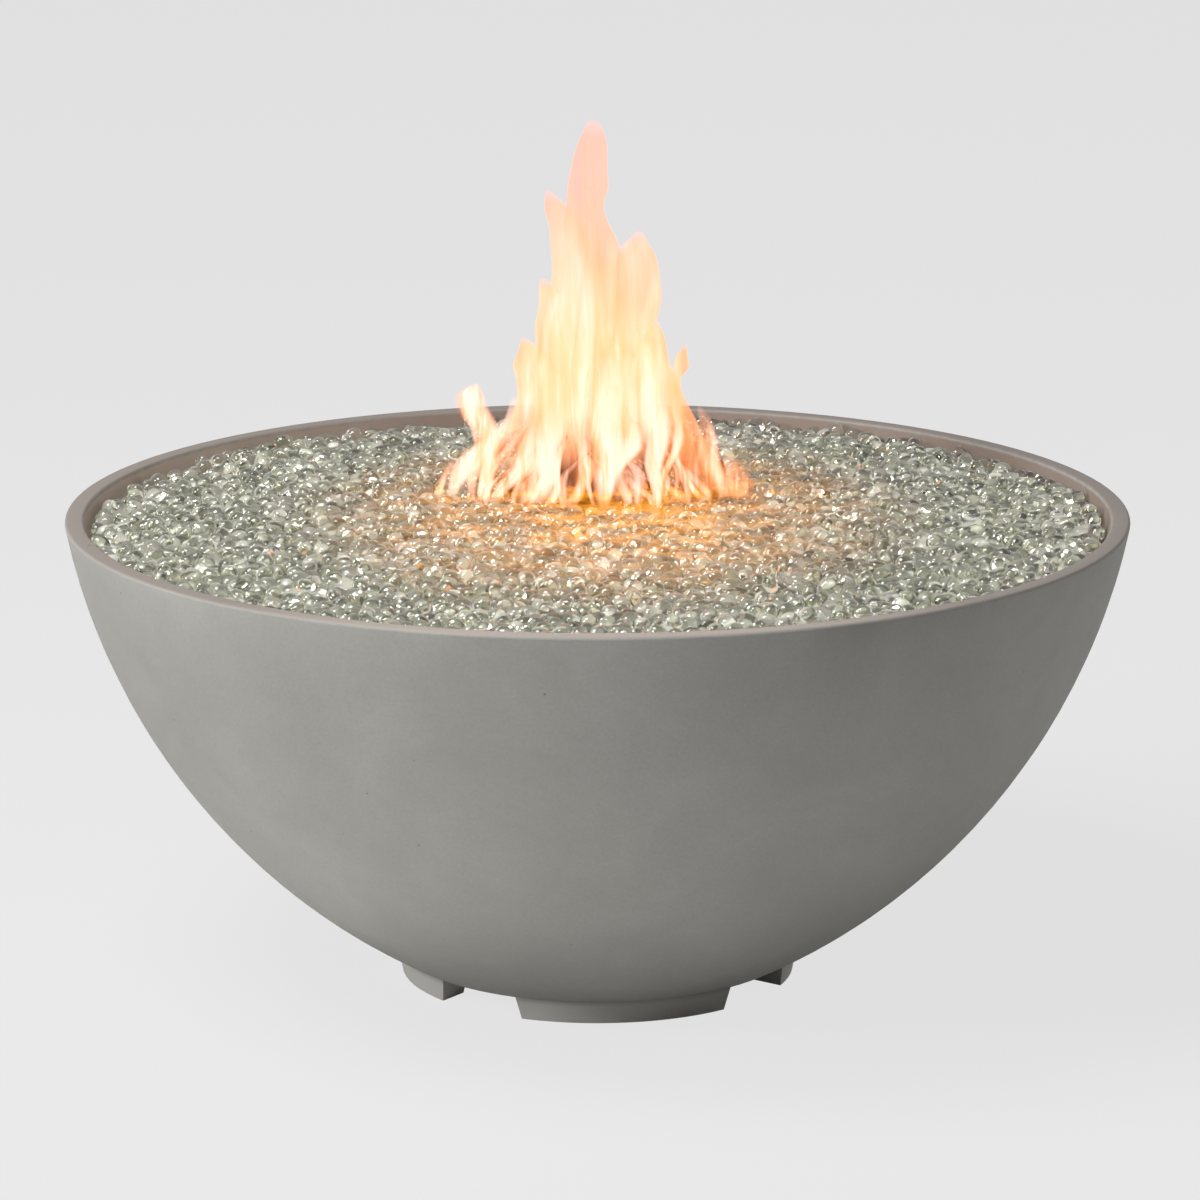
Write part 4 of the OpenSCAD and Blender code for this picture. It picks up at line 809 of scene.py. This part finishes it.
def seen_directly(tree):
    """1 for rays from the camera, a mirror or through glass, and 0 for the light that falls on things."""
    path = add(tree, "LightPath").outputs
    first = add(tree, "Math", {"operation": "MAXIMUM"}, {
        0: path["Is Camera Ray"], 1: path["Is Glossy Ray"]}).outputs[0]
    return add(tree, "Math", {"operation": "MAXIMUM"}, {0: first, 1: path["Is Transmission Ray"]}).outputs[0]


def floor_paint():
    """Matt pale paint, which the camera sees mostly at the backdrop's even tone."""
    material, tree = start_finish("studio_floor_paint")
    matt = add(tree, "BsdfDiffuse", inputs={"Color": linear("#f7f7f7")}).outputs[0]
    even = add(tree, "Emission", inputs={"Color": linear(backdrop), "Strength": 1.0}).outputs[0]
    share = add(tree, "Math", {"operation": "MULTIPLY"}, {0: seen_directly(tree), 1: even_share}).outputs[0]
    mixed = add(tree, "MixShader", inputs={0: share, 1: matt, 2: even}).outputs[0]
    add(tree, "OutputMaterial", inputs={"Surface": mixed})
    return material


floor_half = 40.0
corners = np.array([(-1, -1, 0), (1, -1, 0), (1, 1, 0), (-1, 1, 0)], float) * floor_half
floor_mesh = bpy.data.meshes.new("studio_floor")
floor_mesh.from_pydata(corners.tolist(), [], [(0, 1, 2, 3)])
floor_mesh.materials.append(floor_paint())
floor = bpy.data.objects.new("studio_floor", floor_mesh)
bpy.context.scene.collection.objects.link(floor)

world = bpy.data.worlds.new("studio")
bpy.context.scene.world = world
world.use_nodes = True
world.node_tree.nodes.clear()
shown = add(world.node_tree, "Background", inputs={"Color": linear(backdrop), "Strength": 1.0}).outputs[0]
fill_light = add(world.node_tree, "Background", inputs={"Color": linear("#f2f4f6"), "Strength": 0.1}).outputs[0]
either = add(world.node_tree, "MixShader", inputs={
    0: seen_directly(world.node_tree), 1: fill_light, 2: shown}).outputs[0]
add(world.node_tree, "OutputWorld", inputs={"Surface": either})
print("floor", 2 * floor_half, "m wide, backdrop", backdrop)


# %% Lamps
def soft_box(name, place, aim, size, watts):
    """A square lamp of a size in metres at a place, turned so that its face looks at a point."""
    data = bpy.data.lights.new(name, "AREA")
    data.shape = "SQUARE"
    data.size = size
    data.energy = watts
    lamp = bpy.data.objects.new(name, data)
    away = np.array(place, float) - np.array(aim, float)
    lamp.location = place
    lamp.rotation_euler = (math.acos(away[2] / np.linalg.norm(away)), 0, math.atan2(away[0], -away[1]))
    bpy.context.scene.collection.objects.link(lamp)
    print(name, watts, "W")


soft_box("main_soft_box", place=(-6.95, -3.9, 4.2), aim=(0, 0, 0.3), size=2.6, watts=550)
soft_box("top_soft_box", place=(-1.4, -0.9, 3.4), aim=(0, 0, 0.4), size=1.6, watts=145)
soft_box("right_fill", place=(5.0, 2.6, 1.0), aim=(0, 0, 0.3), size=2.4, watts=92)

# %% [markdown]
# ## The camera
# One camera was fitted to the rim's ellipse and the side's outline: it stands 5.64 m from the middle of the
# rim, 12.6 degrees above it, with a long lens. The rim's middle lies a little left of and above the picture's
# middle, which the camera's turn gives without any lens shift.

# %% Camera
picture_px = 1200
focal_px = 5617
rim_at_px = (597.5, 509.7)
camera_away = 5.641
camera_lift = math.radians(12.63)
eye = bpy.data.cameras.new("camera")
eye.sensor_width = 36
eye.lens = eye.sensor_width * focal_px / picture_px
camera = bpy.data.objects.new("camera", eye)
camera.location = (0, -camera_away * math.cos(camera_lift), rim_z + camera_away * math.sin(camera_lift))
pitch = camera_lift + math.atan((picture_px / 2 - rim_at_px[1]) / focal_px)
yaw = math.atan((picture_px / 2 - rim_at_px[0]) / focal_px)
camera.rotation_euler = (math.pi / 2 - pitch, 0, -yaw)
bpy.context.scene.collection.objects.link(camera)
bpy.context.scene.camera = camera
bpy.context.scene.view_settings.view_transform = "Standard"
print(f"lens {eye.lens:.1f} mm, eye {camera.location.z:.2f} m above the floor")
